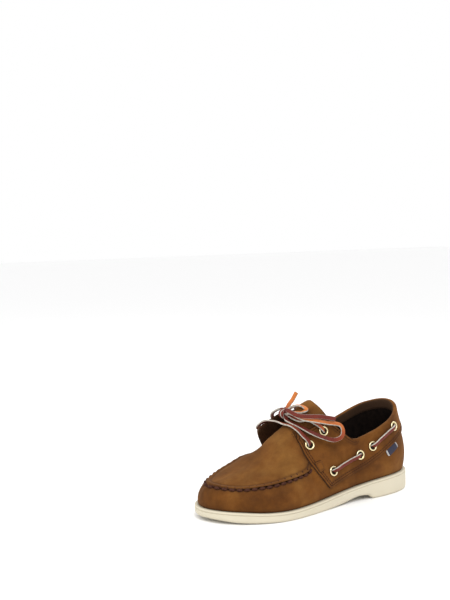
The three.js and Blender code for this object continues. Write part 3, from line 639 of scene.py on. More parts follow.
# Painted shade for the disc that closes an eyelet's bore
HOLE_SHADE = plain("eyelet_hole_shade", (0.006, 0.004, 0.003), (0.014, 0.009, 0.006), 0.9)
TAG_CLOTH = woven("tag_cloth", (0.012, 0.012, 0.03), (0.03, 0.028, 0.055))
TAG_EDGE = woven("tag_selvedge", (0.35, 0.33, 0.32), (0.5, 0.48, 0.46))
INSOLE = plain("insole_leather", (0.03, 0.016, 0.009), (0.055, 0.03, 0.016), 0.7, 120)


# Camera, at the photograph's viewing angle: place and target, roll in degrees, focal length
CAMERA_PLACE = (717.6, 821.2, 303.8)
CAMERA_TARGET = (78.2, -194.8, 202.5)
CAMERA_ROLL = 0.83
CAMERA_LENS = 58.4
CAMERA_SENSOR = 36


def make_camera():
    """The camera looks at the outer front of the shoe from above."""
    place, target = Vector(CAMERA_PLACE) * MM, Vector(CAMERA_TARGET) * MM
    forward = (target - place).normalized()
    right = forward.cross(Vector((0, 0, 1))).normalized()
    up = right.cross(forward)
    turn = Matrix.Rotation(math.radians(CAMERA_ROLL), 3, forward)
    right, up = turn @ right, turn @ up
    data = bpy.data.cameras.new("camera")
    data.sensor_width = CAMERA_SENSOR
    data.lens = CAMERA_LENS
    camera = bpy.data.objects.new("camera", data)
    bpy.context.scene.collection.objects.link(camera)
    camera.matrix_world = Matrix.Translation(place) @ Matrix((right, up, -forward)).transposed().to_4x4()
    bpy.context.scene.camera = camera


make_camera()


# Eyelets
def axis_of(node):
    """Centre and outward axis of a ring among the CAD nodes, in millimetres."""
    points = np.array([v.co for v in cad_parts[node].data.vertices]) / MM
    centre = points.mean(0)
    axis = np.linalg.svd(points - centre)[2][2]
    away = centre - np.array([centre[0], 0, 45])
    return centre, axis * np.sign(axis @ away)


EYELET_PROFILE = [
    (5.15, -0.65), (5.25, -0.35), (5.2, 0.05), (4.98, 0.42), (4.6, 0.64), (4.15, 0.66), (3.75, 0.45),
    (3.5, 0.1), (3.4, -0.4), (3.35, -0.62), (0.0, -0.62),
]


def make_eyelet(node):
    centre, axis = axis_of(node)
    side = unit(np.cross(axis, [0, 0, 1.0]))
    other = np.cross(axis, side)
    count = 48
    angle = np.linspace(0, 2 * math.pi, count, endpoint=False)
    ring = np.cos(angle)[:, None] * side + np.sin(angle)[:, None] * other
    points = [centre + ring * r + axis * h for r, h in EYELET_PROFILE]
    faces = grid_faces(len(EYELET_PROFILE), count, closed_columns=True)
    # The last band, a disc across the bore, takes the near-black painted shade
    kinds = [int(i // count >= len(EYELET_PROFILE) - 2) for i in range(len(faces))]
    piece("ring_" + node, np.array(points), faces, [METAL, HOLE_SHADE], [node],
          face_material=kinds)
    return centre, axis


eyelets = {
    node: make_eyelet(node) for node in sorted(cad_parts) if node.startswith("eyelet_")
}

# The bow, as in the part: points of each cord's middle. Along is a share of the sole's
# length, across a share of the ball width and up a share of the instep height.
def placed(rows):
    return np.array(rows) * (SOLE_LENGTH, BALL_WIDTH, INSTEP_HEIGHT) - (HEEL_CENTRE, 0, 0)


KNOT = placed((0.575, -0.134, 1.157))
KNOT_SHAPE = np.array([7.0, 6.3, 5.6])
KNOT_DEPTH = 1.2
KNOT_WRAP = 0.8
LOOP_LATERAL = placed([
    (0.592, -0.026, 1.098), (0.568, 0.124, 1.032), (0.545, 0.26, 0.97), (0.506, 0.335, 0.91),
    (0.468, 0.375, 0.874), (0.429, 0.37, 0.9), (0.411, 0.33, 0.969), (0.421, 0.315, 1.035),
    (0.476, 0.287, 1.08), (0.526, 0.258, 1.118), (0.562, 0.16, 1.135), (0.58, 0.03, 1.183),
])
LOOP_MEDIAL = placed([
    (0.566, -0.227, 1.202), (0.569, -0.309, 1.165), (0.567, -0.392, 1.11), (0.553, -0.45, 1.04),
    (0.527, -0.454, 0.99), (0.5, -0.42, 0.985), (0.48, -0.37, 1.03), (0.474, -0.3, 1.145),
    (0.492, -0.247, 1.2), (0.527, -0.172, 1.212),
])
END_LATERAL = placed([
    (0.598, 0, 1.236), (0.582, 0.13, 1.186), (0.558, 0.22, 1.182), (0.508, 0.28, 1.17),
    (0.449, 0.33, 1.129),
])
END_UPRIGHT = placed([(0.548, -0.155, 1.256), (0.526, -0.17, 1.31), (0.511, -0.144, 1.413)])
ARCH = placed([
    (0.557, -0.093, 1.238), (0.54, -0.041, 1.268), (0.522, 0.015, 1.256), (0.525, 0.082, 1.226),
    (0.54, 0.052, 1.196), (0.55, -0.041, 1.184),
])
STRAND_LATERAL = placed([(0.559, 0.09, 1.1), (0.537, 0.135, 1.115), (0.513, 0.205, 1.07)])
STRAND_MEDIAL = placed([(0.553, -0.212, 1.15), (0.542, -0.252, 1.19), (0.527, -0.28, 1.185)])
FRONT_BAR = placed([
    (0.574, 0.206, 0.933), (0.587, 0.155, 1.001), (0.595, 0.058, 1.044), (0.602, -0.062, 1.048),
    (0.625, -0.15, 1.075), (0.648, -0.25, 1.06), (0.657, -0.34, 0.965),
])


def knot_exit(towards):
    """The point where a lace leaves the knot, a little under its surface."""
    away = unit(towards - KNOT)
    return KNOT + away * (1 / np.linalg.norm(away / KNOT_SHAPE) - KNOT_DEPTH)


def from_knot(rows):
    return [knot_exit(rows[0]), *rows]


def knot_to_knot(rows):
    return [*from_knot(rows), knot_exit(rows[-1])]


def bore_points(node, towards, deep=1.0):
    """Points from inside an eyelet's bore, over its rim, towards a place."""
    centre, axis = eyelets[node]
    away = towards - centre
    away = unit(away - axis * (away @ axis))
    over_rim = [centre + away * out + axis * up for out, up in ((1.0, 0.9), (3.2, 2.1), (6.0, 2.0))]
    return [centre - axis * deep, *over_rim]


def bore_to_knot(node, rows):
    return [*bore_points(node, rows[-1]), *rows[::-1], KNOT]


def faces_of(path, face):
    """The direction of a lace's broad face along a path."""
    tangent = unit(np.gradient(path, axis=0))
    return unit(face - tangent * np.sum(face * tangent, axis=1, keepdims=True))


def outward_from(path):
    """Directions away from the line about which the bow's lace is bent."""
    return unit(path * (0, 1, 1) - (0, 0, BOW_AXIS_HEIGHT))


def lace_along(name, node, path, face, painted_highlight):
    """A flat lace along a path, its painted highlight running between shares of its length."""
    points, faces, kinds = band(path, faces_of(path, face))
    share = np.linspace(0, 1, len(path))
    marks = {"painted_highlight": np.repeat(np.interp(share, *np.array(painted_highlight).T), len(LACE_SECTION))}
    return piece(name, points, faces, [LACE, LACE_EDGE], [node], marks, kinds)


def make_lace(name, points, painted_highlight, face=None, node=None):
    """A flat lace along a smooth line through points."""
    path = smooth_line(points)
    face = outward_from(path) if face is None else np.array(face)
    made = lace_along(name, node or "lace_" + name, path, face, painted_highlight)


# A painted highlight so faint that the lace keeps its own burgundy
BURGUNDY = [(0, 0.05), (1, 0.05)]
make_lace("loop_lateral", knot_to_knot(LOOP_LATERAL),
          [(0, 0.0), (0.4, 0.02), (0.55, 0.6), (1, 0.85)])
make_lace("loop_medial", knot_to_knot(LOOP_MEDIAL), [(0, 0.05), (1, 0.4)])
make_lace("end_lateral", from_knot(END_LATERAL), BURGUNDY, (0.5, 0.7, 0.2))
make_lace("end_upright", [KNOT + (2, 1, -4), *END_UPRIGHT], [(0, 0.3), (1, 0.95)],
          (0.75, 0.6, 0.2))
make_lace("arch", knot_to_knot(ARCH), [(0, 0.5), (0.4, 0.95), (1, 0.8)])
make_lace("strand_lateral", bore_to_knot("eyelet_throat_lateral_2", STRAND_LATERAL),
          [(0, 0.5), (1, 0.1)])
make_lace("strand_medial", bore_to_knot("eyelet_throat_medial_2", STRAND_MEDIAL), BURGUNDY)


def make_knot():
    """The bow's knot: two wraps of lace round the crossing and one over its front."""
    turns = [
        ((0.2, 1.0, 0.1), (0.1, 0.0, 1.0), 1.0), ((0.9, 0.5, 0.3), (0.0, -0.5, 1.0), 0.92),
        ((0.4, -0.9, 0.3), (0.5, 0.2, 0.8), 0.86),
    ]
    points, faces, kinds = [], [], []
    for axis, start, size in turns:
        axis = unit(np.array(axis))
        first = unit(np.array(start) - axis * (np.array(start) @ axis))
        second = np.cross(axis, first)
        angle = np.linspace(0, 2 * math.pi, 49)[:, None]
        ring = (first * np.cos(angle) + second * np.sin(angle)) * KNOT_SHAPE * size * KNOT_WRAP
        p, f, k = band(KNOT + ring, unit(ring))
        start_at = sum(len(q) for q in points)
        faces += [tuple(start_at + v for v in face) for face in f]
        kinds += k
        points.append(p)
    points = np.concatenate(points)
    # A faint painted highlight over the whole knot
    piece("knot", points, faces, [LACE, LACE_EDGE], ["lace_knot"],
          {"painted_highlight": np.full(len(points), 0.1)}, kinds)


make_knot()


# Lace along the sides, from eyelet to eyelet, and across the plug
def side_lace(word, place, first, second):
    """Lace on the saddle's face between two side eyelets."""
    a, b = (f"eyelet_side_{word}_{k}" for k in (first, second))
    (ca, axis_a), (cb, axis_b) = eyelets[a], eyelets[b]
    middle = []
    for share in (0.3, 0.5, 0.7):
        chord = ca + (cb - ca) * share
        out = unit(axis_a * (1 - share) + axis_b * share)
        middle.append(on_saddle(chord, LACE_OVER_SADDLE, chord + out * 2)[0])
    points = [*bore_points(a, cb, 1.5)[:3], *middle, *bore_points(b, ca, 1.5)[2::-1]]
    path = smooth_line(points, 0.8)
    share = np.linspace(0, 1, len(path))[:, None]
    face = unit(axis_a * (1 - share) + axis_b * share)
    lace_along(f"lace_{word}_{place}", f"lace_side_{word}_{place}", path, face - UP * SIDE_LACE_ROLL,
               [(0, 0.08), (1, 0.08)])


def on_saddle(near, height, search):
    """The point at a height over the saddle's face by a place, and the face's normal there."""
    k = SADDLE_TREE.find(search)[1]
    n = SADDLE_NORMALS[k]
    return near - n * ((near - SADDLE_POINTS[k]) @ n) + n * height, n


# The leather, from the sole up
def wave(length, pitch):
    return np.cos(2 * math.pi * length / pitch)


LOOP = np.linspace(0, 2, 481)[:-1]
FACE = UPPER_WALL + CLEARANCE + SADDLE_LEATHER


def throat_top(u):
    """Where the wall's leather ends: the seam in front, the collar and throat behind."""
    front = smooth(last(u, 1)[:, 0], *SEAM_START)
    return crossing(u, UPPER_EDGE, UPPER_WALL) * (1 - front) + front


def seam_length(u):
    """Length along the seam line from where the toe's middle lies."""
    fine = np.linspace(0, 2, 2001)
    steps = np.linalg.norm(np.diff(last(fine, 1), axis=0), axis=1)
    length = np.concatenate([[0], np.cumsum(steps)])
    return np.interp(u % 2, fine, length - np.interp(1, fine, length))


# Soft folds: X, Z, side, half length, half width, turn in degrees, depth
CREASES = [
    (118, 30, 1, 16, 4, 62, 0.5), (107, 20, 1, 14, 4, 70, 0.35), (134, 27, 1, 11, 4, 55, 0.4),
    (60, 27, 1, 12, 6, 80, 0.5), (38, 33, 1, 16, 7, 84, -0.5), (20, 38, 1, 14, 6, 86, 0.45),
    (4, 44, 1, 13, 7, 88, -0.4), (150, 25, 1, 10, 5, 50, 0.3), (120, 34, -1, 16, 4, 60, 0.6),
    (108, 26, -1, 14, 4, 68, 0.45), (136, 30, -1, 12, 4, 55, 0.45), (48, 30, -1, 14, 6, 80, 0.5),
    (22, 40, -1, 14, 7, 86, -0.4), (0, 46, -1, 12, 6, 88, 0.4),
]
TOP_CREASES = [
    (137, 2, 24, 3.4, 84, 0.6), (146, -4, 26, 3.6, 90, 0.5), (128, 0, 17, 3.2, 88, 0.6),
    (156, 2, 20, 5, 80, 0.3),
]


def fold(a, b, half, wide, turn):
    """How much of a fold's depth is reached at places around its middle."""
    c, s = math.cos(math.radians(turn)), math.sin(math.radians(turn))
    return bell(a * c + b * s, 0, half) * bell(b * c - a * s, 0, wide)


def side_creases(p):
    """Relief of the wall's folds at points of a surface."""
    relief = np.zeros(p.shape[:-1])
    for x, z, side, half, wide, turn, depth in CREASES:
        reach = fold(p[..., 0] - x, p[..., 2] - z, half, wide, turn)
        relief -= np.where(p[..., 1] * side > 0, depth * reach, 0)
    return relief


def top_creases(p):
    """Relief of the plug's folds at points of a surface."""
    relief = np.zeros(p.shape[:-1])
    for x, y, half, wide, turn, depth in TOP_CREASES:
        relief -= depth * fold(p[..., 0] - x, p[..., 1] - y, half, wide, turn)
    return relief


def make_vamp():
    u = LOOP
    top = throat_top(u)
    near = [0, 0.4, 0.9, 1.5, 2.2, 3, 4, 5.2, 6.6, 8.2, 10]
    t = rows_between(u, np.zeros(len(u)), top, near, 26)
    base, _ = skin(u[:, None], t)
    length = arcs(u)
    mm = np.array([np.interp(row, T_DENSE, arc) for row, arc in zip(t, length)])
    down = mm[:, -1:] - mm
    at_seam = smooth(last(u, top)[:, 0], 112, 124)[:, None]
    groove = np.interp(down, [0, 0.5, 1.2, 2.2, 3.4, 5, 7], [-1.5, -1.3, -0.75, -0.1, 0.25, 0.1, 0])
    pucker = 0.45 * wave(seam_length(u), SEAM_PITCH)[:, None] * np.exp(-((down / 6) ** 1.5))
    tuck = np.interp(mm, [0, 0.4, 1.2, 2.4], [-0.9, -0.45, -0.12, 0])
    relief = tuck + side_creases(base) + at_seam * (groove + pucker)
    outer, _ = skin(u[:, None], t, UPPER_WALL + relief)
    rim, _ = skin(u[:, None], t[:, -1:], 0.4)
    inner, _ = skin(u[:, None], t[:, -1:] - 0.05, 0.4)
    points = np.concatenate([outer, rim, inner], axis=1)
    # Painted shade, with some wear: the dark line above the sole and the seam's groove; the hidden rim and
    # inside are dark
    shade_and_wear = 0.85 * np.exp(-mm / 1.6) + at_seam * 0.85 * np.exp(-down / 2.0)
    shade_and_wear = np.concatenate([shade_and_wear, np.ones((len(u), 2))], axis=1)
    faces = grid_faces(*points.shape[:2], closed_rows=True)
    piece("vamp", points, faces, NUBUCK, ["upper"], {"shade_and_wear": np.clip(shade_and_wear, 0, 0.9)})


def make_plug():
    """The plug and the tongue, one piece of leather from the toe seam to the tongue's end."""
    across = np.interp(np.linspace(-1, 1, 75), [-1, -0.7, 0.7, 1], [-1, -0.8, 0.8, 1])
    along = np.linspace(0, 1, 171)
    fine = np.linspace(0.3, 0.9995, 500)
    xs, zs = np.array(TONGUE_TOP, float).T
    around = {1: fine, -1: 2 - fine}
    edge = {side: throat_top(u) + 0.012 for side, u in around.items()}
    stations, rows = [], []
    for q in across:
        side = 1 if q >= 0 else -1
        low = edge[side]
        p, _ = skin(around[side], low + (2 - low) * (1 - abs(q)), UPPER_WALL)
        inside = p[:, 0] - np.interp(side_height(p), zs, xs)
        k = int(np.argmax(inside > 0))
        start = np.interp(0, inside[k - 1 : k + 1], fine[k - 1 : k + 1])
        station = start + (fine[-1] - start) * (1 - (1 - along) ** 1.05)
        low = np.interp(station, fine, low)
        stations.append(station if side > 0 else 2 - station)
        rows.append(low + (2 - low) * (1 - abs(q)))
    u, t = np.array(stations), np.array(rows)
    base, _ = skin(u, t)
    front = np.concatenate([last(half, 1) for half in around.values()])
    d = distance_to(base, front[front[:, 0] > 110])
    near_front = smooth(base[..., 0], 112, 122)
    lip = np.interp(d, [0, 0.5, 1.3, 2.3, 3.4, 4.8, 6.5], [-0.9, 0.85, 1.5, 1.35, 0.55, -0.15, 0])
    pucker = 0.2 * wave(seam_length(u), SEAM_PITCH) * bell(d, 0, 3.2)
    relief = near_front * (lip + pucker) + top_creases(base) * smooth(d, 0, 8)
    shoulder = smooth(base[..., 2], 84, 98) * smooth(-base[..., 1], -8, 10)
    relief += TONGUE_SHOULDER * shoulder * smooth(112 - base[..., 0], 0, 10)
    relief += np.interp(along, [0, 0.004, 0.012], [-0.7, -0.15, 0])
    outer, _ = skin(u, t, UPPER_WALL + relief)
    inner, _ = skin(u, t, LEATHER_GAP)
    # Painted shade in the seam's lip and groove, plus the saddle's painted shadow; the hidden underside is
    # dark
    shade_and_wear = near_front * (0.55 * np.exp(-d / 1.2) + 0.45 * bell(d, 4.8, 1.2))
    shade_and_wear = np.clip(shade_and_wear + saddle_shadow(base), 0, 0.9)
    count, span = t.shape
    upper = grid_faces(count, span)
    lower = [tuple(count * span + k for k in f) for f in upper]
    starts = [(i * span, (i + 1) * span) for i in range(count - 1)]
    hem = [(a, b, count * span + b, count * span + a) for a, b in starts]
    points = np.concatenate([outer.reshape(-1, 3), inner.reshape(-1, 3)])
    marks = {"shade_and_wear": np.concatenate([shade_and_wear.ravel(), np.full(shade_and_wear.size, 0.6)])}
    piece("plug_and_tongue", points, [f[::-1] for f in upper] + lower + hem, PLUG,
          ["tongue"], marks)


def saddle_shadow(p):
    """Painted shadow on the plug where it runs in under the saddle."""
    return 0.55 * smooth(130 - p[..., 0], 0, 14) * smooth(np.abs(p[..., 1] + 3), 8, 22)


def saddle_edge(u, edge):
    """Where each rib reaches an edge of the saddle."""
    return np.minimum(crossing(u, edge, FACE, saddle_skin, inner_reach(edge)), SADDLE_TOP_SHARE)


SADDLE_FRONT_SEARCH = (100, 142)


def saddle_front(medial):
    """The loop's parameter of the rib where the saddle ends in front."""
    low, high = (loop_at(x, medial) for x in SADDLE_FRONT_SEARCH)
    for _ in range(14):
        middle = (low + high) / 2
        u = np.array([middle])
        length = arcs(u)[0]
        foot, top = (
            np.interp(saddle_edge(u, edge), T_DENSE, length) for edge in (SADDLE_FOOT, SADDLE_TOP)
        )
        if top[0] - foot[0] > SADDLE_FRONT_WIDTH:
            low = middle
        else:
            high = middle
    return low


# Distances from the saddle's edges at which rows of points lie close together
EDGE_NEAR = [0, 0.12, 0.35, 0.75, 1.3, 2.0, 2.7, 3.4, 4.2, 5.0]


def make_saddle(name, u, node):
    """A saddle piece from its lower edge to its upper, with its cut edges rounded."""
    low, high = saddle_edge(u, SADDLE_FOOT), saddle_edge(u, SADDLE_TOP)
    t = rows_between(u, low, np.maximum(high, low + 1e-4), EDGE_NEAR, 22)
    flat, _ = saddle_skin(u[:, None], t, FACE)
    foot, top = flat[:, 0], flat[:, -1]
    cut = split_runs(top, top[:, 0] > NOTCH - 2)
    ends = [flat[k] for k in (0, -1) if abs(u[k] % 2 - seam_medial) < 0.02]
    edges = np.concatenate([resample(line, 0.4) for line in (foot, *cut, *ends)])
    d = distance_to(flat, edges)
    relief = np.interp(d, [0, 0.12, 0.35, 0.75, 1.5, 2.2, 2.7, 3.2, 4, 4.6, 5.1, 5.6, 6.4],
                       [-0.75, -0.4, -0.12, 0, 0.05, 0, -0.16, 0, 0.04, 0, -0.16, 0, 0])
    outer, normals = saddle_skin(u[:, None], t, FACE + relief + 0.7 * side_creases(flat))
    back = t[:, [-1, -8, -16, 16, 8, 0]]
    inner, _ = saddle_skin(u[:, None], back, UPPER_WALL + LEATHER_GAP)
    points = np.concatenate([outer, inner], axis=1)
    # Painted shade, with some wear: at the cut edges and in the stitch grooves; the hidden back is dark
    first_row, second_row = STITCH_ROWS
    shade_and_wear = bell(d, -0.1, 0.75) + 0.6 * bell(d, first_row, 0.65) + 0.45 * bell(d, second_row, 0.65)
    shade_and_wear = np.clip(shade_and_wear, 0, 0.95)
    shade_and_wear = np.concatenate([shade_and_wear, np.full(back.shape, 0.85)], axis=1)
    columns = points.shape[1]
    faces = grid_faces(len(u), columns, closed_columns=True)
    faces.append(tuple(range(columns)))
    faces.append(tuple((len(u) - 1) * columns + k for k in reversed(range(columns))))
    piece(name, points, faces, NUBUCK, [node], {"shade_and_wear": shade_and_wear})
    return outer.reshape(-1, 3), normals.reshape(-1, 3), foot, top


def split_runs(points, keep):
    """The runs of points that are kept."""
    breaks = np.flatnonzero(np.diff(keep.astype(int))) + 1
    runs = zip(np.split(points, breaks), np.split(keep, breaks))
    return [run for run, kept in runs if kept[0] and len(run) > 1]


make_vamp()
make_plug()
seam_medial = loop_at(MEDIAL_SEAM, True)
front_lateral, front_medial = saddle_front(False), saddle_front(True)

# The saddle's columns of points crowd together from this X forwards
BUNCHED_FROM = 80


def bunched(start, end, count, at_start=False):
    """Columns that crowd together towards the front of the saddle."""
    share = np.linspace(0, 1, count)
    share = share ** 1.7 if at_start else 1 - (1 - share) ** 1.7
    return start + (end - start) * share


lateral_columns = np.concatenate([
    np.linspace(seam_medial - 2, loop_at(BUNCHED_FROM), 190)[:-1],
    bunched(loop_at(BUNCHED_FROM), front_lateral, 90),
])
medial_columns = np.concatenate([
    bunched(front_medial, loop_at(BUNCHED_FROM, True), 90, True)[:-1],
    np.linspace(loop_at(BUNCHED_FROM, True), seam_medial - 0.002, 60),
])
outer_a, normals_a, foot_a, top_a = make_saddle("saddle_outer", lateral_columns, "saddle_lateral")
outer_b, normals_b, foot_b, top_b = make_saddle("saddle_inner", medial_columns, "saddle_medial")
SADDLE_POINTS = np.concatenate([outer_a, outer_b])
SADDLE_NORMALS = np.concatenate([normals_a, normals_b])
SADDLE_TREE = tree_of(SADDLE_POINTS)

for word in ("lateral", "medial"):
    side_lace(word, "front", 1, 2)
    side_lace(word, "rear", 3, 4)
front_bar_points = [
    *bore_points("eyelet_throat_lateral_1", FRONT_BAR[0]), *FRONT_BAR,
    *bore_points("eyelet_throat_medial_1", FRONT_BAR[-1])[::-1],
]
make_lace("front_bar", front_bar_points, [(0, 0.02), (0.45, 0.3), (0.7, 0.1), (1, 0.1)],
          node="lace_bar_front")


def make_lining():
    """The lining: the inside of the foot up to the collar and, in front, the whole vault."""
    u = LOOP[::2]
    front = smooth(last(u, 1)[:, 0], *SEAM_START)
    top = crossing(u, UPPER_EDGE) * (1 - front) + 2 * front
    t = top[:, None] * np.linspace(0, 1, 40)
    points, _ = skin(u[:, None], t, 0.05)
    faces = [f[::-1] for f in grid_faces(*t.shape, closed_rows=True)]
    piece("lining", points, faces, LINING)


def make_collar():
    """The saddle's leather rolled over the topline and folded down inside."""
    u = np.linspace(loop_at(NOTCH + 1, True) - 2, loop_at(NOTCH + 1), 360)
    middle = (FACE - 0.5) / 2
    radius = (FACE + 0.5) / 2
    roll = [
        (-radius * 0.75 * math.sin(v) + 0.2, middle + radius * math.cos(v))
        for v in np.linspace(0.15, math.pi, 12)
    ]
    profile = [
        (1.2, FACE - 0.03), (0.4, FACE), *roll, (2.5, -0.5), (5, -0.55), (7.2, -0.55),
        (7.8, -0.75), (8.4, -0.55), (9.6, -0.5), (10.2, -0.3), (10.3, 0.1),
    ]
    down, offset = np.array(profile).T
    t = np.array([
        np.interp(np.interp(high, T_DENSE, arc) - down, arc, T_DENSE)
        for high, arc in zip(saddle_edge(u, SADDLE_TOP), arcs(u))
    ])
    points, _ = saddle_skin(u[:, None], t, offset)
    column = np.arange(len(profile))
    # Painted shade deepening down the inside of the collar
    shade_and_wear = np.interp(column, [0, 8, 14, 18, 19, 21], [0, 0, 0.5, 0.75, 0.9, 0.9])
    faces = grid_faces(*t.shape)
    # The inner half of the roll and the fold inside take a darker, shaded copy of the nubuck
    kinds = [int(i % (len(profile) - 1) > 9) for i in range(len(faces))]
    piece("collar", points, faces, [NUBUCK, COLLAR_SHADE],
          marks={"shade_and_wear": np.tile(shade_and_wear, len(u))}, face_material=kinds)


make_lining()
make_collar()


# Stitches
def stitch_row(line, inset):
    """Threads along a line on the saddle, set in from it: places for capsules."""
    places = resample(resample(line, 0.5), STITCH_LENGTH + STITCH_GAP)
    made = []
    for p, a in zip(places, unit(np.gradient(places, axis=0))):
        q = p + np.cross(SADDLE_NORMALS[SADDLE_TREE.find(p)[1]], a) * inset
        q, n = on_saddle(q, 0.1, q)
        made.append((q, a, n))
    return made[1:-1]


def make_stitches(name, places, length, radius, material):
    centres, along, normals = (np.array(v) for v in zip(*places))
    points, faces = capsules(centres, along, normals, length, radius)
    piece(name, points, faces, material)


def saddle_rows():
    places = []
    for foot, top in ((foot_a, top_a), (foot_b, top_b)):
        for inset in STITCH_ROWS:
            places += stitch_row(foot, -inset)
        for run in split_runs(top, top[:, 0] > NOTCH + 2):
            places += stitch_row(run, STITCH_ROWS[0])
    make_stitches("saddle_stitches", places, STITCH_LENGTH, 0.36, STITCH)


def make_seam_thread():
    """Thick thread along the moccasin seam, one stitch between each two puckers."""
    u = np.linspace(loop_at(114, t=1.0), loop_at(114, True, 1.0), 1600)
    length = seam_length(u)
    first, final = math.ceil(length[0] / SEAM_PITCH), math.floor(length[-1] / SEAM_PITCH)
    inside = np.arange(first, final + 1) * SEAM_PITCH
    at = np.interp(inside + SEAM_PITCH / 2, length, u)
    centres, normals = skin(at, 0.975, UPPER_WALL - 0.15)
    ahead = last(at + 0.003, 1) - last(at - 0.003, 1)
    points, faces = capsules(centres, ahead, normals, SEAM_PITCH * 0.84, SEAM_THREAD, 0.3)
    piece("seam_thread", points, faces, THREAD)
    at = np.interp(inside, length, u)
    lip, lip_normals = skin(at, 1.0, UPPER_WALL + 0.2)
    top, _ = skin(at, 1.1, UPPER_WALL + 1.3)
    points, faces = capsules((lip + top) / 2, top - lip, lip_normals, 3.6, 0.5, 0.6)
    piece("seam_whips", points, faces, THREAD)


saddle_rows()
make_seam_thread()


# Small leather pieces
PATCH_COUNT = 22


def patch_points(corners, side, offset, surface):
    """A four-cornered patch drawn from the side, laid over the foot."""
    loop = np.linspace(0.02, 0.98, 260)
    loop = loop if side > 0 else 2 - loop
    p, n = surface(loop[:, None], np.linspace(0, 1.6, 130)[None, :], offset)
    flat = np.stack([p[..., 0], side_height(p), np.zeros(p.shape[:-1])], -1).reshape(-1, 3)
    n = n.reshape(-1, 3)
    depth = p[..., 1].ravel()
    tree = tree_of(flat)
    rows = corners if side > 0 else inner_reach(corners)
    a, b, c, d = (np.array((x, z, 0.0)) for x, z in rows)
    grid = np.linspace(0, 1, PATCH_COUNT)
    points, normals = [], []
    for s in grid:
        for r in grid:
            s2, r2 = round_corner(s, r)
            place = (a * (1 - s2) + b * s2) * (1 - r2) + (d * (1 - s2) + c * s2) * r2
            i = tree.find(place)[1]
            shift = place - flat[i]
            y = depth[i] - (shift[0] * n[i][0] + shift[1] * n[i][2]) / n[i][1]
            points.append((place[0], y, place[1] - TOPLINE_TILT * (y - TILT_AXIS)))
            normals.append(n[i])
    shape = (PATCH_COUNT, PATCH_COUNT, 3)
    return np.array(points).reshape(shape), np.array(normals).reshape(shape)


def round_corner(s, r, radius=0.12):
    """Pulls a patch's corners in to a small radius."""
    a, b = 2 * s - 1, 2 * r - 1
    reach = 1 - radius * (a * a * b * b) ** 1.5
    return (a * reach + 1) / 2, (b * reach + 1) / 2


def make_patch(name, corners, side, under, thickness, materials, node, surface=skin, kinds=None):
    """A thin patch with rounded edges, closed at its sides."""
    points, normals = patch_points(corners, side, under, surface)
    share = np.linspace(0, 1, PATCH_COUNT)
    share = np.minimum(share, 1 - share)
    rim = np.minimum(share[:, None], share[None, :])
    height = thickness * np.interp(rim, [0, 0.02, 0.06, 0.12], [0.45, 0.7, 0.95, 1])
    outer = points + normals * height[..., None]
    both = np.concatenate([outer.reshape(-1, 3), points.reshape(-1, 3)])
    faces = grid_faces(PATCH_COUNT, PATCH_COUNT)
    total = rim.size
    index = np.arange(total).reshape(rim.shape)
    ring = np.concatenate([index[0], index[1:, -1], index[-1, -2::-1], index[-2:0:-1, 0]]).tolist()
    walls = [(a, b, total + b, total + a) for a, b in zip(ring, ring[1:] + ring[:1])]
    if side < 0:
        faces = [f[::-1] for f in faces]
        walls = [f[::-1] for f in walls]
    # Painted shade, with some wear: along the patch's edges and just inside them; the hidden back is dark
    shade_and_wear = np.clip(bell(rim, 0, 0.07) + 0.5 * bell(rim, 0.18, 0.035), 0, 0.95)
    marks = {"shade_and_wear": np.concatenate([shade_and_wear.ravel(), np.full(total, 0.9)])}
    face_kinds = None
    if kinds is not None:
        face_kinds = [kinds(i // (PATCH_COUNT - 1)) for i in range(len(faces))] + [0] * len(walls)
    piece(name, both, faces + walls, materials, [node], marks, face_kinds)


for word, side in (("lateral", 1), ("medial", -1)):
    make_patch(f"tab_{word}", SEAM_TAB, side, FACE + LEATHER_GAP, TAB_LEATHER, NUBUCK,
               f"seam_tab_{word}", saddle_skin)
make_patch("side_tag", TAG, 1, UPPER_WALL + 0.1, TAG_THICKNESS, [TAG_CLOTH, TAG_EDGE],
           "tag", kinds=lambda row: int(row < 2 or row > PATCH_COUNT - 4))


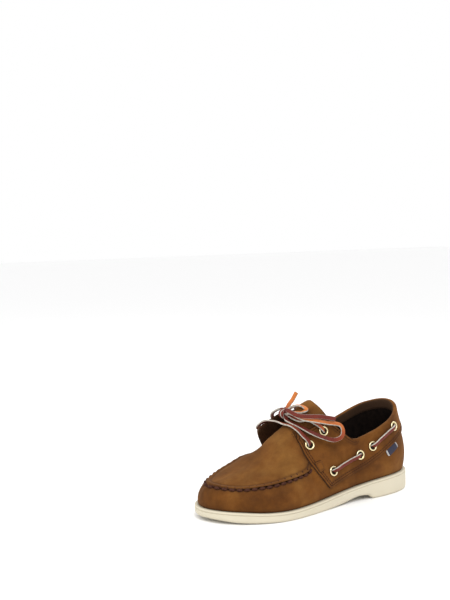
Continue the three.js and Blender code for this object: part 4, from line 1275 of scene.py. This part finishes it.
def make_heel_strip():
    """The raised strip up the back of the heel, sewn down along both sides."""
    low, high = HEEL_STRIP
    heights = np.linspace(low, high, 60)
    shares = np.linspace(-1, 1, 25)
    stitch_gap = 5.5
    p, n = skin(np.linspace(-0.12, 0.12, 121)[:, None], np.linspace(0, 1, 120)[None, :], UPPER_WALL)

    def nearest(y, z):
        """The wall's point and normal nearest to a place seen from behind."""
        k = np.unravel_index(np.argmin((p[..., 1] - y) ** 2 + (p[..., 2] - z) ** 2), p.shape[:2])
        return p[k], n[k]

    points, marks = [], []
    for z in heights:
        for share in shares:
            y = share * HEEL_STRIP_WIDTH / 2
            edge = 1 - abs(share)
            pucker = 0.5 * wave(z - low, stitch_gap) * (1 - edge)
            end = min(z - low, high - z)
            rise = STRIP_RISE * np.interp(edge, [0, 0.06, 0.2, 0.45, 1], [0.15, 0.7, 1, 0.7, 0.85])
            rise = (rise + pucker) * np.interp(end, [0, 0.4, 1.2], [0.3, 0.85, 1])
            near, normal = nearest(y, z)
            points.append(np.array([near[0], y, z]) + normal * (rise + 0.1))
            # Painted shade, with some wear: along the strip's sewn edges and in the groove inside them
            marks.append(0.75 * math.exp(-edge / 0.08) + 0.35 * bell(edge, 0.35, 0.1))
    faces = grid_faces(len(heights), len(shares))
    piece("heel_strip_leather", np.array(points), faces, NUBUCK, ["heel_strip"], {"shade_and_wear": marks})
    places = []
    for side in (-1, 1):
        for z in np.arange(low + 3, high - 2, stitch_gap):
            near, normal = nearest(side * HEEL_STRIP_WIDTH / 2 * 0.86, z)
            places.append((near + normal * 1.9, np.array([0, 0.25 * side, 1.0]), normal))
    make_stitches("heel_strip_stitches", places, 3.8, 0.8, THREAD)


make_heel_strip()


# The rubber sole: the tread's zigzag grooves, and the side as inset, base and height over it
TREAD_WAVE = 9.0
TREAD_SWING = 2.4
TREAD_PITCH = 5.2
TREAD_GROOVE = 0.9
SOLE_PROFILE = [
    (3.2, "tread", 0.0), (1.9, "tread", 0.0), (1.2, "tread", 0.25), (0.6, "tread", 0.8), (0.2, "tread", 1.7),
    (0, "tread", 3), (-0.05, "mix", 0.35), (0, "mix", 0.7), (0, "top", -3.3), (0.05, "top", -2.8),
    (0.35, "top", -2.6), (0.7, "top", -2.35), (0.7, "top", -2.1), (0.35, "top", -1.9), (0.05, "top", -1.7),
    (0, "top", -1.2), (0.05, "top", -0.6), (0.3, "top", -0.2), (0.8, "top", 0.0), (2.0, "top", 0.02),
    (3.4, "top", 0.0), (4.4, "top", -0.1), (6.5, "top", 0.0),
]


def make_outsole():
    u = np.linspace(0, 2, 521)[:-1]
    rings = []
    for inset, base, up in SOLE_PROFILE:
        flat, _ = outline_at(u, inset)
        tread, top = sole_tread(flat[:, 0]), sole_top(flat[:, 0])
        heights = {"tread": tread + up, "top": top + up, "mix": (tread + 3) * (1 - up) + (top - 3.3) * up}
        rings.append(np.concatenate([flat, heights[base][:, None]], -1))
    side = np.array(rings).transpose(1, 0, 2)
    faces = grid_faces(*side.shape[:2], closed_rows=True)
    columns = np.arange(1, len(u) // 2)

    def between(ring, share):
        """Rows of points from one side of the sole to the other."""
        return side[columns, ring][:, None] * (1 - share) + side[len(u) - columns, ring][:, None] * share

    share = np.linspace(0, 1, 41)[None, :, None]
    treads = between(0, share)
    tops = between(-1, share[:, ::8])
    x, y = treads[..., 0], treads[..., 1]
    zigzag = TREAD_SWING * np.abs(((y / TREAD_WAVE) % 1) * 2 - 1)
    cut = bell(((x + zigzag) / TREAD_PITCH) % 1, 0.5, 0.09)
    from_edge = np.minimum(share, 1 - share)[..., 0] * np.abs(y[:, :1] - y[:, -1:])
    treads[..., 2] = sole_tread(x) + TREAD_GROOVE * cut * smooth(from_edge, 2, 4)
    start = side.shape[0] * side.shape[1]
    top_start = start + x.size
    lower = [tuple(start + k for k in f[::-1]) for f in grid_faces(*x.shape)]
    upper = [tuple(top_start + k for k in f) for f in grid_faces(*tops.shape[:2])]
    points = np.concatenate([grid.reshape(-1, 3) for grid in (side, treads, tops)])
    # Painted shade, with some wear: in the side's groove, under the upper and in the tread's cuts
    ring_shade_and_wear = np.interp(np.arange(len(SOLE_PROFILE)), [0, 3, 5, 10, 11.5, 13, 17, 19, 20, 22],
                          [0.25, 0.12, 0, 0.05, 0.3, 0.05, 0, 0.1, 0.5, 0.7])
    tread_shade_and_wear = (0.2 + 0.5 * cut).ravel()
    shade_and_wear = np.concatenate([np.tile(ring_shade_and_wear, len(u)), tread_shade_and_wear, np.zeros(tops[..., 0].size)])
    piece("outsole_rubber", points, faces + lower + upper, RUBBER, ["outsole"], {"shade_and_wear": shade_and_wear})


make_outsole()
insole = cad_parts["insole"]
insole.data.materials.clear()
insole.data.materials.append(INSOLE)
for polygon in insole.data.polygons:
    polygon.material_index = 0


# Stage
def make_stage():
    """A pale floor, soft studio lights and a white room."""
    floor = bpy.data.meshes.new("floor")
    half = 6.0
    corners = [(-half, -half, 0), (half, -half, 0), (half, half, 0), (-half, half, 0)]
    floor.from_pydata(corners, [], [(0, 1, 2, 3)])
    made = bpy.data.objects.new("floor", floor)
    bpy.context.scene.collection.objects.link(made)
    shader = Shader("floor_pale")
    shader.set(Base_Color=(0.96, 0.96, 0.96, 1), Roughness=0.9)
    floor.materials.append(shader.material)
    world = bpy.data.worlds.new("room")
    bpy.context.scene.world = world
    world.use_nodes = True
    background = world.node_tree.nodes["Background"].inputs
    background["Color"].default_value = (1, 1, 1, 1)
    background["Strength"].default_value = 1.0
    lights = [
        ("key", (0.5, 0.9, 1.1), 0.7, 9), ("fill", (0.9, -0.5, 0.7), 0.9, 2.5),
        ("back", (-0.8, -0.4, 0.9), 0.7, 3),
    ]
    for name, place, width, power in lights:
        data = bpy.data.lights.new(name, "AREA")
        data.size = width
        data.energy = power
        light = bpy.data.objects.new(name, data)
        light.location = place
        light.rotation_mode = "QUATERNION"
        light.rotation_quaternion = (Vector((0.09, 0, 0.04)) - Vector(place)).to_track_quat("-Z", "Y")
        bpy.context.scene.collection.objects.link(light)
    bpy.context.scene.view_settings.view_transform = "Standard"


make_stage()
